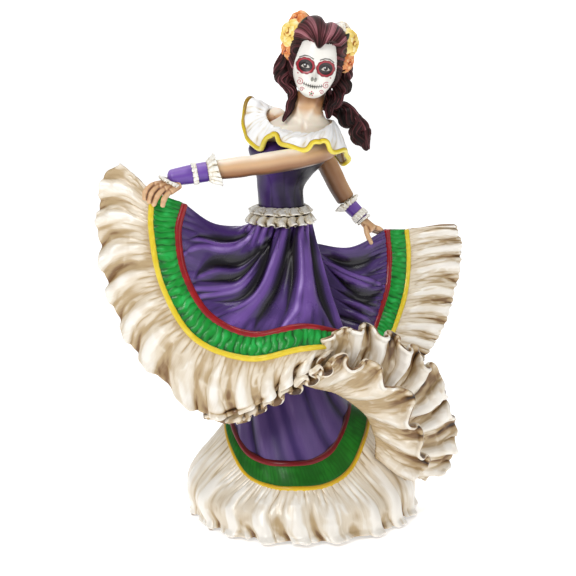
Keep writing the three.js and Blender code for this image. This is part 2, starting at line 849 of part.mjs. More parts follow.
// ---------------------------------------------------------------- hair and flowers
const faceWindow = headSpace(
  loft([ring(0, 0, 0, 10.2, 14.5, 20), ring(0, 0, 0, 10.2, 14.5, 20)].map((points, k) =>
    points.map((p) => new THREE.Vector3(p.x, -26 + k * 22.5, p.y + 12.4)),
  )),
);
const HAIR_CAP = [
  [3, 4, 8.5, 9.5],
  [9, 3.2, 12.2, 13.2],
  [16, 2.6, 13.2, 14.8],
  [23, 1.6, 13.6, 16],
  [29, 0.6, 12.8, 15.6],
  [33.5, 0.4, 10.2, 12.4],
  [36.4, 0.6, 5.6, 7],
];
const hairCap = headSpace(loft(HAIR_CAP.map(([h, y, a, b]) => ring(0, y, h, a, b, 14))));
place("hair_cap", HAIR, hairCap, { without: [faceWindow] });

const lock = (points, radii) =>
  rod(points, (u) => radii[Math.min(radii.length - 1, Math.floor(u * radii.length))], { along: radii.length - 1, sides: 8 });
place(
  "hair_lock_left",
  HAIR,
  lock([[4.5, 0, 221], [1.6, 0, 214], [1.2, -0.5, 208], [3.4, -2, 202.5], [2, -5.6, 196], [-0.4, -8.4, 189.6]],
    [2.2, 3.4, 4, 3.8, 3, 2.4, 2, 1.6, 0.9]),
);
place(
  "hair_lock_right",
  HAIR,
  lock([[29, 3, 220], [30, 3.4, 212], [29.4, 3, 205.5], [27, 2, 200.5], [23.6, 0, 196.4], [22.4, -4, 190.6]],
    [2.4, 3.2, 3.6, 3.6, 3.4, 3.2, 2.8, 2.2, 1.2]),
);
place(
  "ponytail",
  HAIR,
  lock([[17, 15, 207], [21, 15.4, 199], [26.5, 14, 192.6], [32.6, 11, 190], [36.4, 9.6, 186], [38.4, 8.6, 180.6], [42, 8, 174]],
    [4.6, 4.8, 4.4, 3.6, 3.6, 4.4, 4.6, 4.4, 4.8, 4.4, 3, 1.3]),
);

/** A paper rose: a scalloped bowl of petals, facing along a direction. */
function rose(centre, radius, facing) {
  const petals = 5;
  const height = radius * 0.72;
  const sections = [
    [0, 0.35],
    [0.35, 0.95],
    [0.75, 0.9],
    [1, 0.45],
  ];
  const rings = sections.map(([h, r]) =>
    Array.from({ length: petals * 2 }, (_, i) => {
      const t = (2 * Math.PI * i) / (petals * 2);
      const reach = radius * r * (i % 2 ? 0.86 : 1);
      return new THREE.Vector3(reach * Math.cos(t), reach * Math.sin(t), height * h);
    }),
  );
  const form = loft(rings);
  const turn = new THREE.Quaternion().setFromUnitVectors(new THREE.Vector3(0, 0, 1), v3(facing).normalize());
  form.applyQuaternion(turn);
  form.translate(...centre);
  return form;
}

const FLOWERS = [
  ["rose_left_yellow", YELLOW, [5.4, -3.4, 230], 5.6, [-0.75, -0.6, 0.25]],
  ["rose_left_peach", ORANGE, [8.4, -1, 236], 4.2, [-0.55, -0.5, 0.6]],
  ["rose_left_orange", ORANGE, [4.2, -2, 222.4], 4.4, [-0.85, -0.5, -0.1]],
  ["rose_right_yellow", YELLOW, [32.4, 0, 225.5], 5.4, [0.85, -0.5, 0.1]],
  ["rose_right_cream", WHITE, [30, 1, 231.4], 3.6, [0.7, -0.45, 0.5]],
  ["rose_right_orange", ORANGE, [31, -0.6, 216.8], 4.2, [0.8, -0.55, -0.15]],
];
FLOWERS.forEach(([name, colour, centre, radius, facing]) => {
  place(name, colour, rose(centre, radius, facing), { roughness: 0.5 });
});

/** A pointed leaf between two points. */
const leaf = (from, to, width) =>
  rod([from, to], (u) => 0.25 + width * bulge(0.12 + 0.8 * u), { along: 4, sides: 4, flat: 0.35 });
place("leaf_left", LEAF, leaf([9, -7, 231], [12.4, -9, 238], 1.5));
place("leaf_right", LEAF, leaf([29, -6, 226], [32, -9, 230.5], 1.3));

// ---------------------------------------------------------------- the shared origin
const whole = new THREE.Box3().setFromObject(dancer);
const middle = whole.getCenter(new THREE.Vector3());
dancer.children.forEach((mesh) => {
  mesh.geometry.translate(-middle.x, -middle.y, -whole.min.z);
});

export default dancer;
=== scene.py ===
"""The looks of the catrina dancer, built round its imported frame.

Shapes are written in millimetres in the part's own design space, where the foot stands at
(10, 0, 0), and one shift read from the frame carries all of them to the frame's place.
"""

import math

import bpy
import numpy as np
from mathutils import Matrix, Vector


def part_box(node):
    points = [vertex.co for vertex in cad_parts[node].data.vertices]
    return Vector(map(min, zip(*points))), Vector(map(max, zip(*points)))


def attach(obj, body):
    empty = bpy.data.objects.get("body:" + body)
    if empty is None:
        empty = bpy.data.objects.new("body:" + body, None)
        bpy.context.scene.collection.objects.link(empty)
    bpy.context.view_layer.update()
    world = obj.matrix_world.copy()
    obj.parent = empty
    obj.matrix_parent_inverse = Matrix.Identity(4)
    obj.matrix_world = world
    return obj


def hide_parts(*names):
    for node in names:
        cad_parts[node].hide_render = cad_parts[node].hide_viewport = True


MM = 0.001
FOOT_CENTRE = (10.0, 0.0)  # the middle of the foot in design space, mm
TAU = 2 * math.pi

CORD_RED = 1.9  # radius of the red cord, mm
CORD_YELLOW = 1.45  # radius of the yellow cord
CLOTH = 1.9  # thickness of the skirt panels
FLOUNCE = 1.7  # thickness of the flounces
CURL = 2.2  # thickness of the two curled flounces
BAND = 2.4  # thickness of the green bands
THINNEST_RIM = 0.04  # what is left of a sheet's thickness at its very edge, as a share
CORD_SIDES = 20  # points round a cord
HEAD_TILT = 0.16  # radians, crown towards +X
CHIN = (14.2, -3.5, 201.4)  # where the chin is, mm

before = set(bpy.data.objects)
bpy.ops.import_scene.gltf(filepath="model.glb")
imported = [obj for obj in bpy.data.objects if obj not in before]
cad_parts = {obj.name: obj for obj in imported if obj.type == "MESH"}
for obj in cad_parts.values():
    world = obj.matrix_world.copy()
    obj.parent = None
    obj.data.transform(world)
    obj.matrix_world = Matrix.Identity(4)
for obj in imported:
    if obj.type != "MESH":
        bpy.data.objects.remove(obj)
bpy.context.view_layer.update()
pad_low, pad_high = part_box("foot_pad")
SHIFT = np.array(
    [
        (pad_low[0] + pad_high[0]) / 2 / MM - FOOT_CENTRE[0],
        (pad_low[1] + pad_high[1]) / 2 / MM - FOOT_CENTRE[1],
        pad_low[2] / MM,
    ]
)


# ---------------------------------------------------------------- curves and fields
def catmull(points, t, closed=False):
    """Points on the Catmull-Rom curve through points, at t from 0 to 1 (any array)."""
    p = np.asarray(points, float)
    t = np.asarray(t, float)
    n = len(p)
    if closed:
        s = (t - np.floor(t)) * n
        i = np.floor(s).astype(int)
        f = s - i
        quad = [p[(i + k) % n] for k in (-1, 0, 1, 2)]
    else:
        s = np.clip(t, 0, 1) * (n - 1)
        i = np.minimum(np.floor(s).astype(int), n - 2)
        f = s - i
        padded = np.concatenate([[2 * p[0] - p[1]], p, [2 * p[-1] - p[-2]]])
        quad = [padded[i + k] for k in range(4)]
    f = f.reshape(f.shape + (1,) * (p.ndim - 1))
    a, b, c, d = quad
    return 0.5 * (
        2 * b
        + (c - a) * f
        + (2 * a - 5 * b + 4 * c - d) * f**2
        + (3 * b - a - 3 * c + d) * f**3
    )


def rail(points, closed=False):
    return lambda u: catmull(points, u, closed)


def between(a, b, share):
    return lambda u: a(u) * (1 - share) + b(u) * share


def rounded(root, hem, end, cut, reach):
    """The hem rail drawn in towards the root near one end, 0 or 1, which rounds that corner off."""

    def drawn_in(t):
        share = cut * (1 - smooth(0, reach, np.abs(t - end))) ** 2
        return hem(t) + (root(t) - hem(t)) * share[:, None]

    return drawn_in


def across(rails, u, v):
    """The grid of points on the surface through the rails: u along them, v across them."""
    stations = np.stack([r(u) for r in rails])
    return catmull(stations, v).transpose(1, 0, 2)


def unit(a):
    return a / np.maximum(np.linalg.norm(a, axis=-1, keepdims=True), 1e-9)


def slopes(grid, closed):
    """Unit directions along u and v, and the normal, at each point of a grid."""
    if closed:
        du = np.roll(grid, -1, 0) - np.roll(grid, 1, 0)
    else:
        du = np.gradient(grid, axis=0)
    dv = np.gradient(grid, axis=1)
    return unit(du), unit(dv), unit(np.cross(du, dv))


def facing(grid, closed):
    """Directions along u and v, and the normal on the side that is seen: outwards or forwards."""
    along, down, normal = slopes(grid, closed)
    seen = grid - grid.mean((0, 1)) if closed else np.array([0.0, -1.0, 0.0])
    flat = np.array([1.0, 1.0, 0.3])
    return along, down, normal if (normal * seen * flat).sum() > 0 else -normal


def smooth(low, high, x):
    t = np.clip((x - low) / (high - low), 0, 1)
    return t * t * (3 - 2 * t)


def drift(u, seed, closed=False, terms=5, rough=0.6):
    """A slow wandering value of u, about -1 to 1, the same for the same seed."""
    rng = np.random.RandomState(seed)
    total = np.zeros_like(np.asarray(u, float))
    weight = 0
    for k in range(1, terms + 1):
        size = rough ** (k - 1)
        rate = k if closed else k * 0.83
        total = total + size * np.sin(TAU * rate * u + rng.uniform(0, TAU))
        weight += size
    return total / weight * 1.6


def mottle(u, v, seed, cells_u, cells_v, closed=False):
    """Smooth random values on a lattice over (u, v), about -1 to 1."""
    rng = np.random.RandomState(seed)
    lattice = rng.uniform(-1, 1, (cells_u + 3, cells_v + 3))
    x = np.clip(u, 0, 1) * cells_u if not closed else (u - np.floor(u)) * cells_u
    y = np.clip(v, 0, 1) * cells_v
    i = np.floor(x).astype(int)
    j = np.floor(y).astype(int)
    fx = smooth(0, 1, x - i)
    fy = smooth(0, 1, y - j)
    i2 = (i + 1) % cells_u if closed else i + 1
    i = i % cells_u if closed else i
    top = lattice[i, j] * (1 - fx) + lattice[i2, j] * fx
    low = lattice[i, j + 1] * (1 - fx) + lattice[i2, j + 1] * fx
    return top * (1 - fy) + low * fy


# ---------------------------------------------------------------- meshes
def new_object(name, points, quads, material, fields=None, caps=()):
    """A smooth mesh piece from points in design millimetres; fields are values per point."""
    mesh = bpy.data.meshes.new(name)
    quads = np.asarray(quads, np.int32)
    caps = [np.asarray(c, np.int32) for c in caps]
    mesh.vertices.add(len(points))
    mesh.vertices.foreach_set("co", ((points + SHIFT) * MM).astype(np.float32).ravel())
    index = np.concatenate([quads.ravel()] + caps)
    sizes = np.concatenate([np.full(len(quads), 4), [len(c) for c in caps]]).astype(np.int32)
    starts = np.concatenate([[0], np.cumsum(sizes)[:-1]]).astype(np.int32)
    mesh.loops.add(len(index))
    mesh.loops.foreach_set("vertex_index", index.astype(np.int32))
    mesh.polygons.add(len(sizes))
    mesh.polygons.foreach_set("loop_start", starts)
    mesh.polygons.foreach_set("loop_total", sizes)
    mesh.polygons.foreach_set("use_smooth", np.ones(len(sizes), bool))
    mesh.update(calc_edges=True)
    for key, values in (fields or {}).items():
        values = np.asarray(values, np.float32)
        kind = "FLOAT" if values.ndim == 1 else "FLOAT_COLOR"
        layer = mesh.attributes.new(key, kind, "POINT")
        if values.ndim == 1:
            layer.data.foreach_set("value", values)
        else:
            rgba = np.concatenate([values, np.ones((len(values), 1), np.float32)], 1)
            layer.data.foreach_set("color", rgba.ravel())
    mesh.materials.append(material)
    piece = bpy.data.objects.new(name, mesh)
    bpy.context.collection.objects.link(piece)
    return piece


def grid_quads(nu, nv, closed, start=0):
    i = np.arange(nu if closed else nu - 1)
    j = np.arange(nv - 1)
    a, b = np.meshgrid(i, j, indexing="ij")
    c = (a + 1) % nu
    quads = np.stack([a * nv + b, c * nv + b, c * nv + b + 1, a * nv + b + 1], -1)
    return quads.reshape(-1, 4) + start


def facing_out(points, quads):
    """The quads, turned over if the closed shape they make is inside out."""
    a, b, c, d = (points[quads[:, k]] for k in range(4))
    volume = np.einsum("ij,ij->i", a, np.cross(b, c)).sum()
    volume += np.einsum("ij,ij->i", a, np.cross(c, d)).sum()
    return quads if volume > 0 else quads[:, ::-1]


def thick_sheet(middle, thick, closed):
    """Points and quads of a closed sheet of the given thickness with rounded edges."""
    nu, nv, _ = middle.shape
    _, _, normal = facing(middle, closed)
    step = np.linalg.norm(np.diff(middle, axis=1), axis=-1)
    along = np.concatenate([np.zeros((nu, 1)), np.cumsum(step, 1)], 1)
    edge = np.minimum(along, along[:, -1:] - along)
    if not closed:
        step = np.linalg.norm(np.diff(middle, axis=0), axis=-1)
        side = np.concatenate([np.zeros((1, nv)), np.cumsum(step, 0)], 0)
        edge = np.minimum(edge, np.minimum(side, side[-1:] - side))
    radius = thick / 2
    round_off = np.sqrt(np.clip(1 - (1 - np.clip(edge / radius, 0, 1)) ** 2, 0, 1))
    half = (radius * np.maximum(round_off, THINNEST_RIM))[..., None]
    front = middle + normal * half
    back = middle - normal * half
    points = np.concatenate([front.reshape(-1, 3), back.reshape(-1, 3)])
    n = nu * nv
    faces = [grid_quads(nu, nv, closed), grid_quads(nu, nv, closed, n)[:, ::-1]]
    i = np.arange(nu if closed else nu - 1)
    k = (i + 1) % nu
    low = np.stack([k * nv, i * nv, i * nv + n, k * nv + n], -1)
    high = np.stack([i * nv, k * nv, k * nv + n, i * nv + n], -1) + nv - 1
    faces += [low, high]
    if not closed:
        j = np.arange(nv - 1)
        last = (nu - 1) * nv
        faces.append(np.stack([j, j + 1, j + 1 + n, j + n], -1))
        faces.append(np.stack([last + j + 1, last + j, last + j + n, last + j + 1 + n], -1))
    quads = np.concatenate(faces)
    return points, facing_out(points, quads)


def edge_steps(count, fine):
    """Steps from 0 to 1 that crowd together at both ends, so that edges come out round."""
    t = np.linspace(0, 1, count)
    return (1 - fine) * t + fine * (0.5 - 0.5 * np.cos(math.pi * t))


def sheet_piece(name, middle, thick, closed, material, wash, back=None):
    """A cloth piece: its middle surface made thick, with a wash for its seen side and its back."""
    points, quads = thick_sheet(middle, thick, closed)
    nu, nv = wash.shape
    u, v = np.meshgrid(np.linspace(0, 1, nu), np.linspace(0, 1, nv), indexing="ij")
    length = np.linalg.norm(np.diff(middle[:, nv // 2], axis=0), axis=-1).sum()
    width = np.linalg.norm(np.diff(middle[nu // 2], axis=0), axis=-1).sum()
    flow = np.stack([u * length, v * width, np.zeros_like(u)], -1).reshape(-1, 3) * 0.01
    both = np.concatenate([wash.ravel(), (wash if back is None else back).ravel()])
    return new_object(name, points, quads, material, {"wash": both, "flow": np.tile(flow, (2, 1))})


def tube_grid(path, radius, around, flat=1.0, groove=None):
    """Points round a path (n, 3).

    radius is one value, or one per station, and groove(angle, t) adds to it. flat squeezes the
    section one way.
    """
    path = np.asarray(path, float)
    n = len(path)
    tangent = unit(np.gradient(path, axis=0))
    side = np.zeros_like(path)
    first = np.cross(tangent[0], [0.0, 0.0, 1.0])
    if np.linalg.norm(first) < 0.2:
        first = np.cross(tangent[0], [1.0, 0.0, 0.0])
    side[0] = unit(first)
    for i in range(1, n):
        s = side[i - 1] - tangent[i] * np.dot(side[i - 1], tangent[i])
        side[i] = s / np.linalg.norm(s)
    other = np.cross(tangent, side)
    angle = np.arange(around) * TAU / around
    t = np.linspace(0, 1, n)
    a, tt = np.meshgrid(angle, t, indexing="ij")
    r = np.broadcast_to(np.asarray(radius, float), (n,))[None, :] * np.ones_like(a)
    if groove is not None:
        r = r + groove(a, tt)
    x = np.cos(a)[..., None] * side[None]
    y = flat * np.sin(a)[..., None] * other[None]
    return path[None] + r[..., None] * (x + y)


def closed_tube(grid):
    """Points, quads and end caps of a tube grid (around, along)."""
    around, n, _ = grid.shape
    points = grid.reshape(-1, 3)
    quads = grid_quads(around, n, True)
    start = np.arange(around) * n
    turned = facing_out(points, quads)
    same = turned is quads
    caps = [start[::-1] if same else start, start + n - 1 if same else (start + n - 1)[::-1]]
    return points, turned, caps


def joined(shapes):
    """Several closed shapes, each its points, quads and caps, as one."""
    points, quads, caps, count = [], [], [], 0
    for p, q, c in shapes:
        points.append(p)
        quads.append(q + count)
        caps += [k + count for k in c]
        count += len(p)
    return np.concatenate(points), np.concatenate(quads), caps


def round_ends(t, share):
    """A radius factor that rounds off both ends of a tube."""
    a = np.clip(t / share, 0, 1)
    b = np.clip((1 - t) / share, 0, 1)
    return np.sqrt(np.maximum(1 - (1 - a) ** 2, 0.002)) * np.sqrt(np.maximum(1 - (1 - b) ** 2, 0.002))


def ring_tube(path, size, angle):
    """Points and quads of a tube round a closed path, with a point at each angle."""
    du, _, _ = slopes(np.stack([path, path + [0, 0, 1.0]], 1), True)
    side = unit(np.cross(du[:, 0], [0, 0, 1.0]))
    other = np.cross(du[:, 0], side)
    across_path = np.cos(angle)[None, :, None] * side[:, None]
    across_path = across_path + np.sin(angle)[None, :, None] * other[:, None]
    grid = path[:, None] + size[:, None, None] * across_path
    nu, nv = grid.shape[:2]
    i, j = np.meshgrid(np.arange(nu), np.arange(nv), indexing="ij")
    k, m = (i + 1) % nu, (j + 1) % nv
    quads = np.stack([i * nv + j, k * nv + j, k * nv + m, i * nv + m], -1).reshape(-1, 4)
    points = grid.reshape(-1, 3)
    return points, facing_out(points, quads)


def cord_piece(name, curve, radius, material, seed, closed=False, lift=0.0, steps=420):
    """A glossy painted cord along a rail, with the slight unevenness of a brushed edge."""
    t = np.linspace(0, 1, steps, endpoint=False) if closed else edge_steps(steps, 0.4)
    path = curve(t) + np.array([0, -lift, 0])
    size = radius * (1 + 0.05 * drift(t, seed, True, 9, 0.9))
    if closed:
        angle = np.arange(CORD_SIDES) * TAU / CORD_SIDES
        points, quads = ring_tube(path, size, angle)
        # painted highlight on one side of the ring, painted shade on the other
        wash = np.tile(0.5 - 0.5 * np.sin(angle + 0.6), steps)
        return new_object(name, points, quads, material, {"wash": wash})
    grid = tube_grid(path, size * round_ends(t, 0.008), CORD_SIDES)
    points, quads, caps = closed_tube(grid)
    along = np.tile(t, CORD_SIDES)
    round_it = np.repeat(np.linspace(0, 1, CORD_SIDES), steps)
    wash = 0.4 + 0.16 * mottle(along, round_it, seed, 60, 4)
    return new_object(name, points, quads, material, {"wash": wash}, caps)


def fit(piece, node):
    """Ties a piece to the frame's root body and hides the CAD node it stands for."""
    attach(piece, "root")
    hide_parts(node)
    return piece


# ---------------------------------------------------------------- materials
def linear(hex_colour):
    channels = [int(hex_colour[i : i + 2], 16) / 255 for i in (0, 2, 4)]
    return [c / 12.92 if c <= 0.04045 else ((c + 0.055) / 1.055) ** 2.4 for c in channels] + [1]


COAT_ROUGH = 0.12
BLOTCH_SCALE = 90  # of the noise that clouds a colour, per metre
FLOW_STRETCH = (140, 9, 1)  # how brush lines are stretched along the cloth
GRAIN_RELIEF = 0.0002  # depth of the fine grain, m
LINE_RELIEF = 0.0003  # depth of the brush lines, m
LINE_STRENGTH = 0.22
SKIN_DEPTH = (0.004, 0.002, 0.001)  # how far red, green and blue light spreads in the paint, m


def paint(name, stops, rough=0.3, coat=0.4, metal=0.0, streak=0.0, grain=60.0, grain_depth=0.15,
          blotch=0.12, subsurface=0.0, gloss=0.5):
    """Brushed paint: colour from the wash field through a ramp, with blotches, streaks and grain."""
    material = bpy.data.materials.new(name)
    material.use_nodes = True
    tree = material.node_tree
    nodes, links = tree.nodes, tree.links
    shader = nodes["Principled BSDF"]
    shader.inputs["Metallic"].default_value = metal
    shader.inputs["Coat Weight"].default_value = coat
    shader.inputs["Coat Roughness"].default_value = COAT_ROUGH
    shader.inputs["Specular IOR Level"].default_value = gloss
    if subsurface:
        shader.inputs["Subsurface Weight"].default_value = subsurface
        shader.inputs["Subsurface Radius"].default_value = SKIN_DEPTH
        shader.inputs["Subsurface Scale"].default_value = 0.6
    wash = nodes.new("ShaderNodeAttribute")
    wash.attribute_name = "wash"
    place = nodes.new("ShaderNodeTexCoord")
    big = nodes.new("ShaderNodeTexNoise")
    big.inputs["Scale"].default_value = BLOTCH_SCALE
    big.inputs["Detail"].default_value = 5
    links.new(place.outputs["Object"], big.inputs["Vector"])
    spread = nodes.new("ShaderNodeMath")
    spread.operation = "MULTIPLY_ADD"
    spread.inputs[1].default_value = 2 * blotch
    spread.inputs[2].default_value = -blotch
    links.new(big.outputs["Fac"], spread.inputs[0])
    total = nodes.new("ShaderNodeMath")
    links.new(wash.outputs["Fac"], total.inputs[0])
    links.new(spread.outputs[0], total.inputs[1])
    height = big.outputs["Fac"]
    if streak:
        flow = nodes.new("ShaderNodeAttribute")
        flow.attribute_name = "flow"
        stretch = nodes.new("ShaderNodeMapping")
        stretch.inputs["Scale"].default_value = FLOW_STRETCH
        lines = nodes.new("ShaderNodeTexNoise")
        lines.inputs["Scale"].default_value = 1.0
        lines.inputs["Detail"].default_value = 4
        links.new(flow.outputs["Vector"], stretch.inputs["Vector"])
        links.new(stretch.outputs["Vector"], lines.inputs["Vector"])
        more = nodes.new("ShaderNodeMath")
        more.operation = "MULTIPLY_ADD"
        more.inputs[1].default_value = 2 * streak
        links.new(lines.outputs["Fac"], more.inputs[0])
        links.new(total.outputs[0], more.inputs[2])
        less = nodes.new("ShaderNodeMath")
        less.operation = "SUBTRACT"
        less.inputs[1].default_value = streak
        links.new(more.outputs[0], less.inputs[0])
        total = less
        height = lines.outputs["Fac"]
    ramp = nodes.new("ShaderNodeValToRGB")
    ramp.color_ramp.interpolation = "EASE"
    while len(ramp.color_ramp.elements) < len(stops):
        ramp.color_ramp.elements.new(0.5)
    for element, (at, colour) in zip(ramp.color_ramp.elements, stops):
        element.position = at
        element.color = linear(colour)
    links.new(total.outputs[0], ramp.inputs["Fac"])
    links.new(ramp.outputs["Color"], shader.inputs["Base Color"])
    fine = nodes.new("ShaderNodeTexNoise")
    fine.inputs["Scale"].default_value = grain * 10
    fine.inputs["Detail"].default_value = 3
    links.new(place.outputs["Object"], fine.inputs["Vector"])
    uneven = nodes.new("ShaderNodeMapRange")
    uneven.inputs["To Min"].default_value = max(rough - 0.08, 0.05)
    uneven.inputs["To Max"].default_value = rough + 0.12
    links.new(big.outputs["Fac"], uneven.inputs["Value"])
    links.new(uneven.outputs["Result"], shader.inputs["Roughness"])
    first = nodes.new("ShaderNodeBump")
    first.inputs["Strength"].default_value = grain_depth
    first.inputs["Distance"].default_value = GRAIN_RELIEF
    links.new(fine.outputs["Fac"], first.inputs["Height"])
    second = nodes.new("ShaderNodeBump")
    second.inputs["Strength"].default_value = LINE_STRENGTH
    second.inputs["Distance"].default_value = LINE_RELIEF
    links.new(height, second.inputs["Height"])
    links.new(first.outputs["Normal"], second.inputs["Normal"])
    links.new(second.outputs["Normal"], shader.inputs["Normal"])
    return material


def colour_paint(name):
    """Paint whose colour was brushed on point by point."""
    material = paint(name, [(0, "ffffff"), (1, "ffffff")], rough=0.35, coat=0.3, grain_depth=0.12)
    tree = material.node_tree
    brushed = tree.nodes.new("ShaderNodeAttribute")
    brushed.attribute_name = "brushed"
    shader = tree.nodes["Principled BSDF"]
    tree.links.new(brushed.outputs["Color"], shader.inputs["Base Color"])
    return material


# each paint's colours run from painted highlight (0) to painted shade in hollows and undersides (1)
M_PURPLE = paint("purple_cloth", [(0, "a488cc"), (0.25, "6c4b97"), (0.5, "432b67"), (0.75, "1f1132"),
                                  (1, "0a0510")],
                 rough=0.27, coat=0.24, streak=0.05, blotch=0.07, gloss=0.35)
M_BODICE = paint("purple_bodice", [(0, "7452a0"), (0.35, "472d6e"), (0.7, "24163a"), (1, "0e0818")],
                 rough=0.32, coat=0.14, blotch=0.08, gloss=0.25)
M_CUFF = paint("purple_cuff", [(0, "9878c6"), (0.4, "66429c"), (0.8, "3a2070"), (1, "201044")], rough=0.3,
               coat=0.25, blotch=0.1, gloss=0.4)
M_LOWER_PURPLE = paint("purple_lower", [(0, "7c6896"), (0.35, "553f74"), (0.7, "38255a"), (1, "1c1030")],
                       rough=0.4, coat=0.08, streak=0.06, blotch=0.1, gloss=0.25)
M_RED = paint("red_cord", [(0, "b00a16"), (0.5, "86040c"), (1, "4c0206")], rough=0.3, coat=0.25,
              gloss=0.35)
M_LOWER_RED = paint("red_lower", [(0, "860a14"), (0.5, "64060e"), (1, "360408")], rough=0.34, coat=0.12,
                    gloss=0.25)
M_GREEN = paint("green_band", [(0, "2cb454"), (0.35, "108a2e"), (0.7, "065a1a"), (1, "022a0a")],
                rough=0.32, coat=0.08, blotch=0.1, gloss=0.26)
M_LOWER_GREEN = paint("green_lower", [(0, "1c701a"), (0.4, "12560e"), (0.8, "083a06"), (1, "041f02")],
                      rough=0.42, coat=0.05, blotch=0.1, gloss=0.2)
M_YELLOW = paint("yellow_cord", [(0, "f2e25e"), (0.5, "dcc01e"), (1, "94700a")], rough=0.32, coat=0.25,
                 gloss=0.35)
M_LOWER_YELLOW = paint("yellow_lower", [(0, "e2c020"), (0.5, "c69c10"), (1, "745404")], rough=0.34,
                       coat=0.15, gloss=0.3)
M_CREAM = paint("pearl_cream", [(0, "f4efe6"), (0.25, "ddd0bb"), (0.5, "b49b74"), (0.75, "7c5a34"),
                                (1, "36220f")],
                rough=0.36, coat=0.25, metal=0.05, streak=0.08, blotch=0.12, gloss=0.45)
M_LACE = paint("silver_lace", [(0, "f6f3ea"), (0.4, "dcd0b6"), (0.7, "93805e"), (1, "2c2214")],
               rough=0.35, coat=0.3, metal=0.1, blotch=0.2)
M_WHITE = paint("white_ruffle", [(0, "ffffff"), (0.4, "f6f2ea"), (0.75, "d8c6a4"), (1, "8e6a3c")],
                rough=0.35, coat=0.3, streak=0.03, blotch=0.06)
M_SKIN = paint("skin", [(0, "faeedc"), (0.4, "d8b086"), (0.75, "9a6a42"), (1, "54341c")], rough=0.38,
               coat=0.2, blotch=0.08, subsurface=0.15)
M_HAIR = paint("hair", [(0, "a86c74"), (0.2, "66343a"), (0.45, "38191a"), (0.7, "1e0d0c"), (1, "0b0605")],
               rough=0.5, coat=0.03, blotch=0.12, gloss=0.16)
M_ROSE_YELLOW = paint("rose_yellow", [(0, "fff0b0"), (0.35, "f6d66a"), (0.7, "cf8c26"), (1, "7a4208")],
                      rough=0.4, coat=0.2)
M_ROSE_ORANGE = paint("rose_orange", [(0, "f8c288"), (0.35, "e2843c"), (0.7, "b64816"), (1, "602006")],
                      rough=0.4, coat=0.2)
M_ROSE_CREAM = paint("rose_cream", [(0, "ffffff"), (0.35, "f2e6d0"), (0.7, "c49c6a"), (1, "70502c")],
                     rough=0.4, coat=0.2)
M_LEAF = paint("leaf", [(0, "3c4a34"), (0.5, "1e261a"), (1, "0a0d08")], rough=0.4, coat=0.2)
M_FACE = colour_paint("face_paint")
M_FELT = paint("felt", [(0, "35503e"), (0.5, "22362a"), (1, "14221a")], rough=0.9, coat=0, grain=150,
               grain_depth=0.9)
M_BOARD = paint("board", [(0, "b08a5c"), (0.5, "8e683e"), (1, "5e4022")], rough=0.7, coat=0, grain=30,
                grain_depth=0.6)
M_WIRE = paint("wire", [(0, "b8babc"), (0.5, "989a9c"), (1, "606264")], rough=0.35, coat=0, metal=0.9)
M_PULP = paint("pulp", [(0, "cbbb9c"), (0.5, "b09c7a"), (1, "80694a")], rough=0.85, coat=0, grain=40,
               grain_depth=0.8)


# ---------------------------------------------------------------- gathered cloth
CREST_HIGHLIGHT = -0.14  # the wash that the highest crest loses: painted highlight
FINE_SHARE = 0.08  # depth of a small crease that takes full painted shade, as a share of the fold height
FINE_DEEP = 0.45  # the most painted shade that a small crease gets


def folds(u, count, seed, closed=False):
    """Phase of an uneven run of folds along u, with a crest at every full turn."""
    return TAU * count * u + 1.1 * drift(u, seed, closed, 6, 0.8)


def crest_phase(u, crests):
    """Phase that reaches a full turn at each listed crest."""
    return TAU * np.interp(u, crests, np.arange(len(crests)))


def billow(phase, sharp):
    """Rounded crests at 1 and valleys at -1, the valleys narrower as sharp grows past 1."""
    return 1 - 2 * (np.sin(phase / 2) ** 2) ** sharp


def blur(field, reach_u, reach_v, closed):
    """The field softened over the given number of points either way along u and v."""
    for axis, reach, mode in ((0, reach_u, "wrap" if closed else "edge"), (1, reach_v, "edge")) * 2:
        pad = [(0, 0), (0, 0)]
        pad[axis] = (reach + 1, reach)
        total = np.moveaxis(np.cumsum(np.pad(field, pad, mode=mode), axis), axis, 0)
        span = 2 * reach + 1
        field = np.moveaxis((total[span:] - total[:-span]) / span, 0, axis)
    return field


def tucks(uu, vv, count, seed, closed):
    """Fine creases of a gathered edge at v = 0, each with its own place, length and lean; 0 to -1."""
    rng = np.random.RandomState(seed)
    total = np.zeros_like(uu)
    for start in (np.arange(count) + rng.uniform(-0.45, 0.45, count)) / count:
        length = rng.uniform(0.12, 0.65)
        lean = rng.uniform(-1.2, 1.2) / count
        depth = rng.uniform(0.35, 1.0)
        away = uu - start - lean * vv
        if closed:
            away = away - np.round(away)
        width = (0.2 + 0.7 * vv) / count
        total = total - depth * np.exp(-((away / width) ** 2)) * (1 - smooth(0.3 * length, length, vv))
    return total * smooth(-0.04, 0.04, vv)


def along_rail(value, u):
    """A number, or a list of numbers spread evenly along u."""
    if isinstance(value, list):
        return np.interp(u, np.linspace(0, 1, len(value)), value)
    return value + 0 * u


def pit_marks(uu, vv, pits):
    """How deep the listed pits sink, and how far inside one each point lies, from 0 to 1."""
    sink = np.zeros_like(uu)
    inside = np.zeros_like(uu)
    for pu, pv, half_u, half_v, depth in pits:
        spot = np.exp(-(((uu - pu) / half_u) ** 2) - ((vv - pv) / half_v) ** 2)
        sink = sink + depth * spot
        inside = np.maximum(inside, spot)
    return sink, inside


def painted_fold_light(push, level, count, closed, dark, deep, fine_dark):
    """Painted shade in the hollows of folds and painted highlight on their crests, from wide and fine
    shapes.
    """
    nu, nv = push.shape
    wide = blur(push, max(nu // count // 2, 2), nv // 8, closed) - push
    fine = blur(push, max(nu // count // 14, 2), 2, closed) - push
    broad = np.clip(dark * wide / level, CREST_HIGHLIGHT, deep)
    return broad + np.clip(fine_dark * dark * fine / (FINE_SHARE * level), CREST_HIGHLIGHT, FINE_DEEP)


